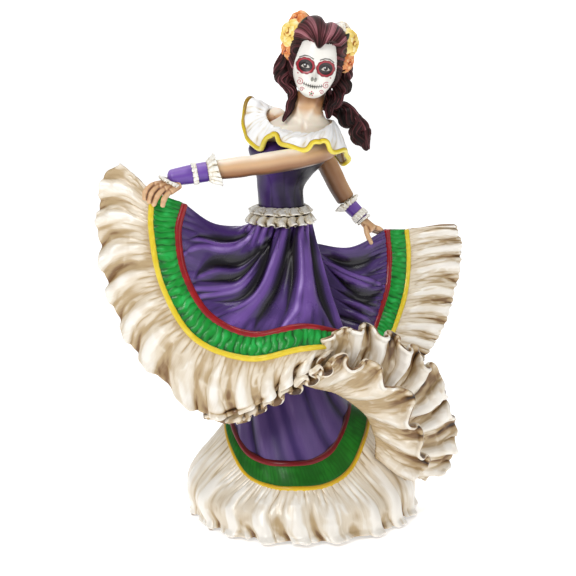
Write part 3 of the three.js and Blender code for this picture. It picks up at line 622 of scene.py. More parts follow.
def surface(rails, nu, nv, closed, crowd):
    """A grid through the rails, its two directions and seen normal, and the u and v of its points."""
    u = np.linspace(0, 1, nu, endpoint=not closed)
    v = edge_steps(nv, crowd)
    grid = across(rails, u, v)
    uu, vv = np.meshgrid(u, v, indexing="ij")
    return grid, facing(grid, closed), uu, vv


def gathered(rails, nu, nv, crests, height, seed, closed=False, sharp=1.1, reach=0.3, grow=1.0, sweep=0.0,
             bend=0.01, swing=0.08, lip=0.4, tuck_count=90, tuck=0.5, minor=0.25, crumple=0.25,
             flutter=0.25, wander=0.5, pits=(), tone=0.32, dark=0.3, deep=0.26, fine_dark=0.3):
    """The middle surface of a flounce and the wash of both its sides.

    Fine tucks at the root open into full folds at the hem. crests lists the u of each fold, or
    counts them on a closed flounce; they are height tall, and grow is the power of v that they
    open with. sharp narrows the valleys. swing rolls their flanks over, reach carries the crests
    past the hem, and sweep and bend curve them along u. minor, crumple, tuck and flutter are the
    sizes of smaller folds, and lip turns the hem out. pits are hollows: u, v, half sizes, depth.
    tone is the plain wash, dark how strongly hollows get painted shade, fine_dark the share that
    small creases get of that, and deep the most painted shade a wide hollow gets.
    """
    grid, (along, down, normal), uu, vv = surface(rails, nu, nv, closed, 0.4)
    count = crests if closed else len(crests) - 1
    bent = uu + bend * np.sin(math.pi * vv) + sweep * (1 - vv) ** 2
    phase = folds(bent, crests, seed, True) if closed else crest_phase(bent, crests)
    phase = phase + wander * mottle(uu, vv, seed + 7, 2 * count, 3, closed) * vv
    size = along_rail(height, uu) * (1 + 0.3 * drift(uu, seed + 1, closed, 7, 0.9))
    rise = size * vv ** along_rail(grow, uu) * (1 + 0.25 * mottle(uu, vv, seed + 10, count, 3, closed))
    crest = billow(phase, sharp)
    weak = 0.5 + 0.5 * mottle(uu, vv, seed + 8, 2 * count, 2, closed)
    ripples = np.cos(2 * phase + 2 * drift(uu, seed + 2, closed, 9, 0.95)) * weak
    ripples = ripples + 0.6 * np.cos(3 * phase + 2 * drift(uu, seed + 3, closed, 9, 0.95)) * (1 - weak)
    push = rise * crest + minor * (0.4 * size + 0.6 * rise) * ripples * smooth(0, 0.3, vv)
    crossing = mottle(bent, vv, seed + 5, 5 * count, 5, closed)
    push = push + crumple * (0.6 - np.abs(crossing) * 1.6) * smooth(0, 0.25, vv)
    push = push + crumple * 0.7 * mottle(bent, vv, seed + 4, 9 * count, 4, closed) * smooth(0, 0.3, vv)
    push = push + tuck * tucks(bent, vv, tuck_count, seed + 12, closed)
    push = push + lip * smooth(0.84, 1.0, vv) ** 1.5
    wavy = np.sin(3 * phase + 3 * drift(uu, seed + 11, closed, 9, 0.97))
    push = push + flutter * wavy * smooth(0.72, 1, vv)
    sink, hole = pit_marks(uu, vv, pits)
    push = push - sink
    length = np.linalg.norm(np.diff(grid[:, -1], axis=0), axis=-1).sum() / count
    slide = along_rail(swing, uu) * length * np.sin(2 * phase) * vv**1.3
    edge = 0.3 * size * vv**3 * drift(uu, seed + 6, closed, 11, 0.97) + 0.6 * flutter * wavy * vv**6
    stretch = along_rail(reach, uu) * size * vv**2 * crest + edge
    # painted shade in the hollows of the folds and painted highlight on their crests
    fold_light = painted_fold_light(push, max(size.mean(), 0.5), count, closed, dark, deep, fine_dark)
    root = 1 - smooth(0.0, 0.25, vv)
    patchy = 0.08 * mottle(uu, vv, seed + 9, 3 * count, 5, closed)
    # seen side: plain tone, fold shade and highlight, painted shade near the root and in the pits, uneven
    # tone
    wash = tone + fold_light + 0.16 * root + 0.9 * hole + patchy
    # back side: painted darker as shade, with its fold shade and highlight turned over
    back = tone + 0.22 - np.clip(fold_light, -0.4, 0.4) + 0.1 * root + patchy
    grid = grid + normal * push[..., None] + along * slide[..., None] + down * stretch[..., None]
    return grid, np.clip(wash, 0, 1), np.clip(back, 0, 1)


def ruched(rails, nu, nv, closed, count, crown, depth, seed, crease_shade=0.75):
    """A gathered band: a pillowed strip with cross folds, crease_shade being how dark the painted shade
    in its creases is.
    """
    grid, (_, _, normal), uu, vv = surface(rails, nu, nv, closed, 0.5)
    bend = 0.8 * mottle(uu, vv, seed, count, 3, closed) + 1.6 * (vv - 0.45) ** 2
    phase = folds(uu, count, seed, closed) + 2.4 * bend
    ridge = np.abs(np.sin(phase / 2)) ** 0.6
    branch = np.abs(np.sin(0.95 * phase + 2.5 * mottle(uu, vv, seed + 3, count, 3, closed))) ** 0.5
    strength = 0.65 + 0.5 * mottle(uu, vv, seed + 1, count, 3, closed)
    puffs = 0.35 * mottle(uu, vv, seed + 4, count // 3, 2, closed)
    pillow = np.sin(math.pi * np.clip(vv, 0, 1)) ** 0.6
    push = (crown + puffs) * pillow + depth * (strength * (ridge - 0.6) + 0.3 * (branch - 0.6)) * pillow
    push = blur(push, max(nu // (9 * count), 1), 1, closed)
    # painted shade in the creases and towards the band's edges, painted highlight on the ridges; mottle
    # is uneven tone
    wash = 0.2 + crease_shade * (1 - ridge * (0.35 + 0.65 * pillow)) + 0.2 * crease_shade * (1 - branch)
    wash = wash + 0.16 * mottle(uu, vv, seed + 2, 50, 4, closed)
    return grid + normal * push[..., None], np.clip(wash, 0, 1)


def creased(rails, nu, nv, creases, ridges, seed, tone=0.3, pleats=0, ticks=0, tick_size=0.3,
            closed=False):
    """A smooth panel with listed folds.

    Each crease or ridge is u at a quarter, half and three quarters of the way down, its half
    width in u, its depth or height, and the v where it starts and ends. pleats are small folds
    at the top edge and ticks small folds at the bottom one.
    """
    grid, (_, _, normal), uu, vv = surface(rails, nu, nv, closed, 0.25)
    uu = uu + 0.006 * mottle(uu, vv, seed, 12, 5, closed)
    push = np.zeros_like(uu)
    wash = np.full_like(uu, tone)
    for table, sign in ((creases, -1), (ridges, 1)):
        for u1, u2, u3, width, size, start, end in table:
            t = 4 * (vv - 0.5)
            middle = u2 + (u3 - u1) / 2 * t + (u1 - 2 * u2 + u3) / 2 * t**2
            away = uu - middle
            if closed:
                away = away - np.round(away)
            strength = smooth(start - 0.12, start + 0.16, vv) * (1 - smooth(end - 0.45, end + 0.08, vv))
            shape = np.exp(-((away / (width * (0.25 + 0.75 * strength))) ** 2)) * strength**0.7
            push = push + sign * size * shape
            # creases get painted shade and ridges painted highlight
            painted_light_share = min(0.26 * size + 0.12, 0.62) if sign < 0 else min(0.16 * size + 0.06, 0.22)
            wash = wash - sign * painted_light_share * shape
    if pleats:
        lean = billow(folds(uu, pleats, seed + 1, closed), 0.8)
        near = (1 - smooth(0.0, 0.3, vv)) * smooth(-0.05, 0.05, vv)
        push = push + 0.35 * lean * near
        # painted highlight on the pleats' crests, painted shade between them
        wash = wash - 0.22 * lean * near
    if ticks:
        small = tucks(uu, 1 - vv, ticks, seed + 2, closed)
        push = push + tick_size * small
        # painted shade in the ticks
        wash = wash - 0.33 * tick_size * small
    # painted shade in small hollows; the mottle is uneven tone
    fine = blur(push, max(nu // 120, 2), 2, closed) - push
    wash = wash + 1.2 * fine + 0.06 * mottle(uu, vv, seed + 4, 16, 8, closed)
    return grid + normal * push[..., None], np.clip(wash, 0, 1)


# ---------------------------------------------------------------- the lower skirt
def braids(part, red, yellow, seed, closed=False, lift=0.4, steps=420, red_radius=CORD_RED,
           paints=(M_RED, M_YELLOW)):
    """The red and yellow cords along the two edges of a green band."""
    cords = [("red", red, red_radius, paints[0], seed),
             ("yellow", yellow, CORD_YELLOW, paints[1], seed + 1)]
    for colour, curve, radius, material, number in cords:
        braid = cord_piece(f"{part}_{colour}_braid", curve, radius, material, number, closed, lift, steps)
        fit(braid, f"{part}_{colour}_cord")


def hem_rail(x, y, a, b, low, lift, right=0):
    """A closed rail round the skirt, lifted at both sides and a little more on the right."""
    t = -math.pi / 2 + TAU * np.arange(16) / 16
    height = low + lift * np.abs(np.cos(t)) ** 5 + right * np.maximum(np.cos(t), 0) ** 3
    return rail(np.stack([x + a * np.cos(t), y + b * np.sin(t), height], -1), True)


LOWER_TOP = hem_rail(1.5, 0, 12.6, 10.4, 139.5, 0)
LOWER_HIP = hem_rail(2, 0, 15, 14.5, 112, 0)
LOWER_MID = hem_rail(4, -2, 20.5, 27, 72, 2)
LOWER_RED = hem_rail(5, -4, 27.6, 39.5, 34.2, 12, 6)
LOWER_YELLOW = hem_rail(8.3, -3, 34.2, 46, 24.2, 19, 4.5)
LOWER_BELLY = hem_rail(9.5, -2, 53, 54.5, 13, 5, 2)
LOWER_HEM = hem_rail(11, -1, 52, 59, 1.4, 0)


def lower_skirt():
    rails = [LOWER_TOP, LOWER_HIP, LOWER_MID, LOWER_RED]
    spots = np.arange(14) / 14 + 0.018 * np.sin(np.arange(14) * 2.3)
    sizes = 0.55 + 0.3 * np.sin(np.arange(14) * 1.9)
    creases = [(p - 0.05, p, p + 0.055, 0.017, size, 0.3, 1.3) for p, size in zip(spots, sizes)]
    ridges = [(p - 0.02, p + 0.03, p + 0.085, 0.014, 0.4 * size, 0.3, 1.3)
              for p, size in zip(spots, sizes)]
    grid, wash = creased(rails, 520, 120, creases, ridges, 41, tone=0.46, closed=True)
    fit(sheet_piece("lower_skirt_cloth", grid, CLOTH, True, M_LOWER_PURPLE, wash), "lower_skirt")
    braids("lower", LOWER_RED, LOWER_YELLOW, 5, True, lift=0, paints=(M_LOWER_RED, M_LOWER_YELLOW))
    band = [between(LOWER_RED, LOWER_YELLOW, 0.04), between(LOWER_RED, LOWER_YELLOW, 0.96)]
    grid, wash = ruched(band, 900, 24, True, 110, 0.4, 0.08, 42, crease_shade=0.25)
    fit(sheet_piece("lower_green_ruching", grid, BAND, True, M_LOWER_GREEN, wash), "lower_green_band")
    rails = [between(LOWER_YELLOW, LOWER_BELLY, 0.02), LOWER_BELLY, LOWER_HEM]
    grid, wash, back = gathered(rails, 1500, 90, 19, 1.6, 43, True, reach=0.4, grow=1.5, tuck_count=130,
                                tuck=0.8, minor=0.25, crumple=0.16, flutter=0.6, wander=1.4, lip=1.5,
                                bend=0.004, swing=0.06, dark=0.28, tone=0.19, fine_dark=0.36)
    grid[..., 2] = np.maximum(grid[..., 2], 0.95)
    fit(sheet_piece("lower_flounce_frill", grid, FLOUNCE, True, M_CREAM, wash, back), "lower_flounce")


# ---------------------------------------------------------------- the front sweep
FRONT_WAIST = rail([[-15, -4, 138.5], [-12.6, -9, 141.5], [-8, -12.4, 143.4], [-1, -13.6, 144.2],
                    [6, -12.9, 144.1], [11.5, -9.8, 143.3], [14.9, -5, 142]])
FRONT_MID = rail([[-31.4, -21, 143.9], [-26, -27, 134.5], [-21, -34, 121.5], [-12, -39, 115.5],
                  [-1, -40, 116], [11, -37, 117], [22.4, -26, 115.8]])
FRONT_RED = rail([[-43.4, -38, 156.2], [-46.3, -41, 142.8], [-43, -45, 123.8], [-31.7, -50, 106.4],
                  [-12.5, -53, 98.2], [10, -52, 101.6], [30, -40, 95.4]])
FRONT_YELLOW = rail([[-57.6, -40, 161.6], [-57.9, -43, 143.5], [-52.7, -48, 119.4], [-38.4, -54, 97.2],
                     [-14.2, -58.5, 88.8], [9.3, -58, 93], [26.6, -46, 91.9]])
FRONT_HEM = rail([[-78, -32, 179.6], [-83, -33, 148.4], [-78.8, -39, 115.7], [-63.9, -47, 86],
                  [-34, -57, 61.8], [-10, -60, 67], [4, -58, 77], [20, -54, 85.5]])


# folds of the front panel: u at a quarter, half and three quarters, half width, size, start and end
FRONT_CREASES = [
    (0.17, 0.12, 0.14, 0.035, 1.7, 0.05, 0.85),
    (0.37, 0.26, 0.27, 0.045, 2.1, 0.1, 0.9),
    (0.42, 0.35, 0.335, 0.035, 1.8, 0.2, 0.88),
    (0.485, 0.475, 0.46, 0.045, 2.2, 0.0, 0.85),
    (0.66, 0.645, 0.65, 0.045, 2.3, 0.0, 0.95),
    (0.73, 0.75, 0.765, 0.04, 1.5, 0.0, 0.75),
    (0.93, 0.94, 0.95, 0.035, 1.9, 0.0, 1.0),
]
FRONT_RIDGES = [
    (0.245, 0.19, 0.195, 0.019, 0.9, 0.16, 1.0),
    (0.215, 0.165, 0.165, 0.012, 0.5, 0.3, 0.9),
    (0.4, 0.305, 0.3, 0.016, 0.6, 0.25, 0.9),
    (0.44, 0.4, 0.385, 0.019, 0.8, 0.3, 1.1),
    (0.46, 0.42, 0.41, 0.011, 0.5, 0.4, 1.1),
    (0.56, 0.54, 0.525, 0.016, 0.6, 0.18, 1.0),
    (0.58, 0.575, 0.575, 0.035, 0.8, 0.16, 1.2),
    (0.84, 0.86, 0.845, 0.05, 0.8, 0.16, 1.2),
    (0.795, 0.81, 0.8, 0.014, 0.5, 0.18, 1.2),
    (1.0, 0.99, 0.99, 0.03, 0.4, 0.2, 1.0),
]
FRONT_FLOUNCE_CRESTS = [0, 0.08, 0.15, 0.235, 0.3, 0.38, 0.445, 0.53, 0.61, 0.68, 0.765, 0.84, 0.92, 1]
# extra hollows of the front flounce: u, v, half sizes in u and v, depth
FRONT_PITS = [
    (0.64, 0.9, 0.04, 0.04, 1.4),
    (0.8, 0.78, 0.014, 0.1, 2.0),
    (0.87, 0.5, 0.015, 0.12, 2.2),
    (0.93, 0.45, 0.012, 0.12, 1.4),
    (0.735, 0.9, 0.012, 0.07, 1.0),
]


def front_sweep():
    rails = [FRONT_WAIST, FRONT_MID, FRONT_RED]
    grid, wash = creased(rails, 620, 200, FRONT_CREASES, FRONT_RIDGES, 51, tone=0.46, pleats=15, ticks=22)
    fit(sheet_piece("front_panel_cloth", grid, CLOTH, False, M_PURPLE, wash), "front_panel")
    braids("front", FRONT_RED, FRONT_YELLOW, 7)
    band = [between(FRONT_RED, FRONT_YELLOW, 0.05), between(FRONT_RED, FRONT_YELLOW, 0.95)]
    grid, wash = ruched(band, 1100, 34, False, 42, 0.9, 0.85, 52)
    fit(sheet_piece("front_green_ruching", grid, BAND, False, M_GREEN, wash), "front_green_band")
    hem = rounded(FRONT_YELLOW, FRONT_HEM, 0, 0.3, 0.07)
    rails = [between(FRONT_YELLOW, hem, 0.02), between(FRONT_YELLOW, hem, 0.55), hem]
    height = [0.5, 1.9, 2.1, 2.1, 2.1, 2.2, 2.3, 1.9]
    swing = [0.02, 0.03, 0.03, 0.03, 0.04, 0.07, 0.11, 0.11]
    grid, wash, back = gathered(rails, 1400, 110, FRONT_FLOUNCE_CRESTS, height, 53, sweep=0.012,
                                bend=0.02, pits=FRONT_PITS, tuck_count=80, tuck=0.4, crumple=0.2,
                                minor=0.3, flutter=0.35, swing=swing, reach=0.28, wander=0.35, tone=0.34,
                                dark=0.32, deep=0.22, fine_dark=0.36,
                                grow=[1, 1, 1, 1.1, 1.3, 1.8, 1.5, 1.1])
    fit(sheet_piece("front_flounce_frill", grid, FLOUNCE, False, M_CREAM, wash, back), "front_flounce")


# ---------------------------------------------------------------- the side sweep
SIDE_HIP = rail([[16.5, 3, 130], [17.7, 2, 120], [19.5, -2, 109.4], [21.5, -6, 100.1], [24, -12, 91]])
SIDE_MID = rail([[33.6, 8, 127.1], [36.5, 6, 117.3], [38.6, 1, 107.7], [38.8, -5, 98.3],
                 [38.4, -12, 89.9]])
SIDE_RED = rail([[51.8, 18, 134.1], [52.9, 17, 120.5], [51.8, 12, 106.6], [47.7, 4, 95],
                 [43.5, -6, 86.5]])
SIDE_YELLOW = rail([[61.1, 19, 133.9], [62.2, 18, 119.8], [60.6, 13, 104], [55.9, 4, 91.1],
                    [50.7, -6, 81.6]])
SIDE_HEM = rail([[85.3, 24, 135.5], [88.4, 24, 122.6], [85.9, 19, 105.2], [79.7, 11, 88],
                 [68.4, 0, 72.2]])


SIDE_CREASES = [
    (0.17, 0.2, 0.2, 0.07, 2.0, 0.15, 0.9),
    (0.4, 0.55, 0.57, 0.06, 1.8, 0.15, 0.95),
    (0.55, 0.63, 0.67, 0.04, 1.4, 0.2, 0.95),
    (0.68, 0.765, 0.79, 0.03, 1.1, 0.2, 0.9),
    (0.85, 0.9, 0.93, 0.04, 1.2, 0.1, 0.9),
]
SIDE_RIDGES = [
    (0.27, 0.36, 0.44, 0.02, 0.8, 0.15, 1.0),
    (0.33, 0.44, 0.5, 0.025, 0.7, 0.2, 1.0),
    (0.64, 0.7, 0.74, 0.018, 0.5, 0.3, 0.9),
    (0.76, 0.83, 0.86, 0.02, 0.5, 0.3, 0.9),
    (0.04, 0.05, 0.06, 0.05, 0.5, 0.2, 1.0),
]
SIDE_FLOUNCE_CRESTS = [0, 0.09, 0.24, 0.36, 0.53, 0.66, 0.8, 0.9, 1]


def side_sweep():
    rails = [SIDE_HIP, SIDE_MID, SIDE_RED]
    grid, wash = creased(rails, 340, 160, SIDE_CREASES, SIDE_RIDGES, 61, tone=0.54, ticks=26,
                         tick_size=0.9)
    fit(sheet_piece("side_panel_cloth", grid, CLOTH, False, M_PURPLE, wash), "side_panel")
    braids("side", SIDE_RED, SIDE_YELLOW, 9, steps=240, red_radius=CORD_RED - 0.2)
    band = [between(SIDE_RED, SIDE_YELLOW, 0.06), between(SIDE_RED, SIDE_YELLOW, 0.94)]
    grid, wash = ruched(band, 500, 34, False, 24, 0.8, 0.6, 62)
    fit(sheet_piece("side_green_ruching", grid, BAND, False, M_GREEN, wash), "side_green_band")
    rails = [between(SIDE_YELLOW, SIDE_HEM, 0.02), between(SIDE_YELLOW, SIDE_HEM, 0.55), SIDE_HEM]
    grid, wash, back = gathered(rails, 800, 100, SIDE_FLOUNCE_CRESTS, 2.2, 63, sharp=0.8, reach=-0.3,
                                bend=0.02, swing=0.05, tuck_count=36, tuck=0.8, minor=0.3, crumple=0.3,
                                flutter=0.5, wander=0.45, grow=0.8, dark=0.36, deep=0.4, fine_dark=0.5)
    fit(sheet_piece("side_flounce_frill", grid, FLOUNCE, False, M_CREAM, wash, back), "side_flounce")


# ---------------------------------------------------------------- the curled flounces
INNER_CURL_ROOT = rail([[-34, -49, 68], [-20, -51, 67], [-10, -52, 71.5], [-2, -50, 77], [6, -46, 75.5],
                        [13, -44, 72], [19, -43.3, 70.3], [27, -42, 67.5], [34.8, -38, 61],
                        [40, -33.5, 55.4], [43, -30, 48], [45, -27, 40.5], [45, -27, 32]])
INNER_CURL_HEM = rail([[-36, -52, 59.5], [-20, -54.5, 57.5], [-8, -57.5, 64.5], [5, -59, 73.3],
                       [17, -60, 82], [27, -58, 88], [38, -54.5, 85.7], [48, -51, 79], [59.5, -44, 66.5],
                       [63.3, -39, 53.3], [67.6, -33, 40.4], [70, -27, 27.3], [69, -22, 14]])
OUTER_CURL_ROOT = rail([[16, -46, 83], [30, -42, 78], [44.5, -34, 70.5], [54, -26, 59.5], [61, -18, 47],
                        [63.5, -11, 31], [64, -6, 16]])
OUTER_CURL_HEM = rail([[19.1, -54, 97.4], [29.6, -52, 101.2], [38, -48, 101], [48, -41, 96.6],
                       [58, -35, 90], [68, -24, 79.5], [77, -13, 66.5], [80.5, -7, 54], [85, -1, 38.7],
                       [84, 4, 22.3], [76, 8, 9.5]])


INNER_CURL_CRESTS = [0, 0.045, 0.1, 0.15, 0.205, 0.26, 0.31, 0.355, 0.47, 0.6, 0.73, 0.85, 0.96, 1.12]
OUTER_CURL_CRESTS = [0, 0.16, 0.28, 0.4, 0.5, 0.62, 0.72, 0.84, 0.94, 1.1]


def curls():
    hem = rounded(INNER_CURL_ROOT, INNER_CURL_HEM, 1, 0.36, 0.13)
    rails = [INNER_CURL_ROOT, between(INNER_CURL_ROOT, hem, 0.55), hem]
    height = [1.0, 1.3, 1.6, 2.4, 3.6, 4.0, 4.0, 3.8, 2.0]
    reach = [0.2, 0.2, 0, -0.3, -0.45, -0.45, -0.45, -0.45, -0.1]
    swing = [0.12, 0.12, 0.12, 0.11, 0.08, 0.06, 0.06, 0.06, 0]
    grid, wash, back = gathered(rails, 1500, 120, INNER_CURL_CRESTS, height, 71, sharp=0.7, reach=reach,
                                swing=swing, lip=1.2, tuck_count=60, tuck=0.5, minor=0.2, crumple=0.22,
                                flutter=0.5, bend=-0.02, tone=0.38, dark=0.46, deep=0.55, fine_dark=0.4)
    fit(sheet_piece("inner_curl_frill", grid, CURL, False, M_CREAM, wash, back), "inner_curl_flounce")
    hem = rounded(OUTER_CURL_ROOT, OUTER_CURL_HEM, 1, 0.5, 0.12)
    rails = [OUTER_CURL_ROOT, between(OUTER_CURL_ROOT, hem, 0.55), hem]
    grid, wash, back = gathered(rails, 1200, 120, OUTER_CURL_CRESTS,
                                [0.8, 1.8, 3.0, 3.6, 3.8, 3.8, 3.6, 1.2], 72, sharp=0.75,
                                reach=[-0.2, -0.5, -0.5, -0.5, -0.5, -0.5, -0.4, 0], grow=0.7,
                                swing=[0.07, 0.07, 0.07, 0.07, 0.07, 0.07, 0.05, 0], lip=1.3,
                                tuck_count=40, tuck=0.5, minor=0.25, crumple=0.35, flutter=0.6,
                                bend=-0.02, tone=0.35, dark=0.44, deep=0.6, fine_dark=0.45)
    fit(sheet_piece("outer_curl_frill", grid, CURL, False, M_CREAM, wash, back), "outer_curl_flounce")


# ---------------------------------------------------------------- torso, bodice, collar
TORSO = [[142, 1.5, 0, 9, 7], [157, 0.4, 0, 9, 7], [166, 2.5, -1, 12, 8.5], [174, 4.8, -2.4, 15.5, 10.5],
         [181, 6.5, -1.5, 17, 10.2], [186.5, 8.5, 0, 16, 8.4], [190, 10, 0.8, 11.6, 7.2],
         [192.5, 11.2, 1, 9.2, 6.9], [196, 12.4, 1.2, 7.8, 6.4], [203, 14.6, 1.6, 7.2, 6.2]]
BODICE = [[143.2, 1.5, 0, 11.2, 9], [150, 0.6, 0, 10.8, 8.7], [157, 0.2, 0, 11, 8.8],
          [163, 1.8, -0.8, 13, 10], [170, 4, -2.8, 17, 12.6], [176, 4.6, -3.4, 19.4, 13.2],
          [180.5, 6, -2.6, 19, 12.2]]


def ring_stack(rings, around, levels):
    """A smooth body through elliptical rings given as height, centre x, centre y, half widths."""
    t = np.linspace(0, 1, levels)
    z, x, y, a, b = catmull(np.array(rings, float), t).T
    angle = np.arange(around) * TAU / around - math.pi / 2
    grid = np.zeros((around, levels, 3))
    grid[..., 0] = x + a * np.cos(angle)[:, None]
    grid[..., 1] = y + b * np.sin(angle)[:, None]
    grid[..., 2] = z
    return grid


def bump(points, centre, size, height):
    """A soft swelling of the given height round a centre, for pushing points out."""
    d = (points - np.asarray(centre, float)) / np.asarray(size, float)
    return height * np.exp(-(d**2).sum(-1))


def torso():
    grid = ring_stack(TORSO, 160, 150)
    _, _, normal = facing(grid, True)
    collar_bone = (5.5, 6, 1.1)
    push = bump(grid, (3.5, -9, 187.2), collar_bone, 0.7)
    push = push + bump(grid, (17.5, -9, 187.6), collar_bone, 0.7)
    push = push + bump(grid, (10.8, -9, 187.4), (1.2, 5, 1.6), -0.9)
    for share in np.linspace(0, 1, 7):
        left_cord = (10.2 - 3.4 * share, -8 + 3 * share, 189 + 11 * share)
        right_cord = (12.4 + 5.2 * share, -8 + 3 * share, 189 + 11 * share)
        for cord in (left_cord, right_cord):
            push = push + bump(grid, cord, (1.2, 3, 1.4), 0.5)
    grid = grid + normal * push[..., None]
    points, quads, caps = closed_tube(grid)
    # painted shade up the neck under the chin and on its sides, painted highlight on raised bones and
    # cords
    wash = 0.06 - 0.2 * push.ravel() + 0.75 * smooth(190, 203, points[:, 2])
    wash = wash + 0.25 * smooth(3, 6.5, np.abs(points[:, 0] - 11.5)) * smooth(190, 194, points[:, 2])
    fit(new_object("torso_skin", points, quads, M_SKIN, {"wash": wash}, caps), "torso")


def bodice():
    grid = ring_stack(BODICE, 220, 160)
    _, _, normal = facing(grid, True)
    bust = (5.5, 8, 4.6)
    push = bump(grid, (-3.5, -14, 173.5), bust, 1.6) + bump(grid, (10.5, -15, 173), bust, 1.6)
    push = push - bump(grid, (3.4, -16, 172), (2, 8, 5), 0.8)
    angle = np.arctan2(grid[..., 1], grid[..., 0] - 2)
    crease = np.sin(angle * 9 + grid[..., 2] * 0.25) * np.exp(-((grid[..., 2] - 152) / 6) ** 2)
    seams = sum(np.exp(-(((angle - s) / 0.035) ** 2)) for s in (-2.2, -1.57, -0.95, 0.6, 2.5))
    push = push + 0.08 * crease - 0.06 * seams * (grid[..., 2] < 170)
    grid = grid + normal * push[..., None]
    points, quads, caps = closed_tube(grid)
    # painted highlight on the bust and a band on the left, painted shade at the bottom and right; darker
    # along seams
    wash = 0.61 - 0.08 * crease.ravel() + 0.1 * seams.ravel() - 0.12 * push.ravel()
    wash = wash + 0.3 * smooth(149, 144, points[:, 2]) + 0.42 * smooth(2, 13, points[:, 0])
    wash = wash - 0.2 * np.exp(-(((points[:, 0] + 5) / 3) ** 2))
    fit(new_object("bodice_satin", points, quads, M_BODICE, {"wash": np.clip(wash, 0, 1)}, caps),
        "bodice")


COLLAR_NECK = rail([[-6.4, 4, 192.2], [-5.6, -4, 190], [-2.2, -9.4, 187.4], [7, -12.6, 185],
                    [16.3, -13, 185], [22.8, -9, 187.6], [24.6, -1, 188.8], [23.8, 8, 188.6],
                    [16, 12, 189], [5, 13, 191], [-4, 11, 193]], True)
COLLAR_HEM = rail([[-17, 5, 189], [-15.9, -3, 183], [-13, -10, 179.6], [-8.2, -15.5, 178],
                   [-5.2, -18.8, 184.6], [-1.8, -21.2, 184.9], [2, -23.5, 180.6], [11.6, -25, 179],
                   [16.6, -24.2, 182.4], [20.6, -22.4, 182.4], [25, -19, 176.8], [30.4, -9, 176.4],
                   [32, -2, 171.4], [30, 5, 168], [24, 12.5, 173], [17, 17, 182], [4, 20, 187],
                   [-10, 15, 196], [-15.4, 10, 197.6]], True)


def collar():
    u = np.linspace(0, 1, 900, endpoint=False)
    v = edge_steps(60, 0.4)
    grid = across([COLLAR_NECK, between(COLLAR_NECK, COLLAR_HEM, 0.55), COLLAR_HEM], u, v)
    grid = np.stack([blur(grid[..., k], 12, 0, True) for k in range(3)], -1)
    _, _, normal = slopes(grid, True)
    uu, vv = np.meshgrid(u, v, indexing="ij")
    phase = folds(uu, 13, 81, True)
    fine = np.sin(3 * phase + 1.2 * mottle(uu, vv, 88, 26, 3, True))
    calm = 1 - smooth(0.6, 1, vv)
    push = 0.8 * vv * np.sin(phase) + 0.9 * np.sin(math.pi * vv) + 0.35 * vv * fine * calm
    push = push + 1.0 * tucks(uu, vv, 60, 89, True) + 0.45 * mottle(uu, vv, 90, 40, 4, True) * calm
    small = blur(push, 9, 3, True) - push
    wide = blur(push, 40, 8, True) - push
    grid = grid - normal * push[..., None] * 0.8
    # painted shade in the folds' hollows and along the neckline, painted highlight on the crests
    wash = 0.2 + 1.3 * np.clip(small, -0.1, 0.4) + 0.35 * np.clip(wide, -0.4, 0.8)
    wash = np.clip(wash + 0.2 * (1 - smooth(0, 0.12, vv)), 0, 1)
    # the back is painted darker as shade
    back = np.clip(wash + 0.62, 0, 1)
    fit(sheet_piece("collar_frill", grid, 1.5, True, M_WHITE, wash, back), "collar_ruffle")
    hem = grid[:, -1]
    closed_hem = lambda t: catmull(hem, t, True)
    fit(cord_piece("collar_edging", closed_hem, 1.2, M_YELLOW, 12, True, steps=640), "collar_trim")


# ---------------------------------------------------------------- lace
def oval(x, y, z, a, b):
    t = TAU * np.arange(12) / 12
    return rail(np.stack([x + a * np.cos(t), y + b * np.sin(t), np.full(12, float(z))], -1), True)


def lace_ruffle(name, node, inner, outer, lobes, height, seed, reach=0.6, swing=0.12, thick=1.0, nu=420,
                nv=26, tone=0.3):
    """A stiff lace ruffle between two closed rails, its hem in rounded lobes."""
    grid, wash, back = gathered([inner, outer], nu, nv, lobes, height, seed, True, sharp=1.2, reach=reach,
                                grow=0.7, swing=swing, lip=0.1, tuck_count=2 * lobes, tuck=0.35,
                                minor=0.3, crumple=0.15, flutter=0.08, wander=0.6, tone=tone, dark=0.6,
                                deep=0.8)
    return fit(sheet_piece(name, grid, thick, True, M_LACE, wash, back), node)


def waist_lace():
    lace_ruffle("waist_frill_lower", "waist_lace_lower", oval(0.6, -1.2, 145.4, 13.6, 13.8),
                oval(0.2, -2.9, 141.9, 15.4, 17.8), 17, 1.3, 82, nu=900, nv=40, tone=0.36, reach=0.7,
                swing=0.05)
    lace_ruffle("waist_frill_upper", "waist_lace_upper", oval(0.8, 0, 148.9, 11.6, 9.8),
                oval(0.2, -0.8, 146.2, 14.9, 14.6), 13, 0.4, 83, nu=700, nv=34, tone=0.14, swing=0.02)


def wrist_frame(start, end):
    """Two directions across a wrist that runs from start to end."""
    line = unit(np.subtract(end, start).astype(float))
    side = unit(np.cross(line, [0.0, 0.0, 1.0]))
    return side, np.cross(side, line)


def hoop(start, end, share, radius, lean=0.0, tall=1.0):
    """A closed rail round a wrist, a share of the way along it; lean tips its top to the hand.

    tall is its height as a share of its width.
    """
    side, up = wrist_frame(start, end)
    middle = np.asarray(start) + (np.asarray(end) - np.asarray(start)) * share
    t = TAU * np.arange(12) / 12
    ring = radius * (np.cos(t)[:, None] * side + tall * np.sin(t)[:, None] * up)
    along = unit(np.subtract(end, start).astype(float))
    return rail(middle + ring + lean * np.sin(t)[:, None] * along, True)


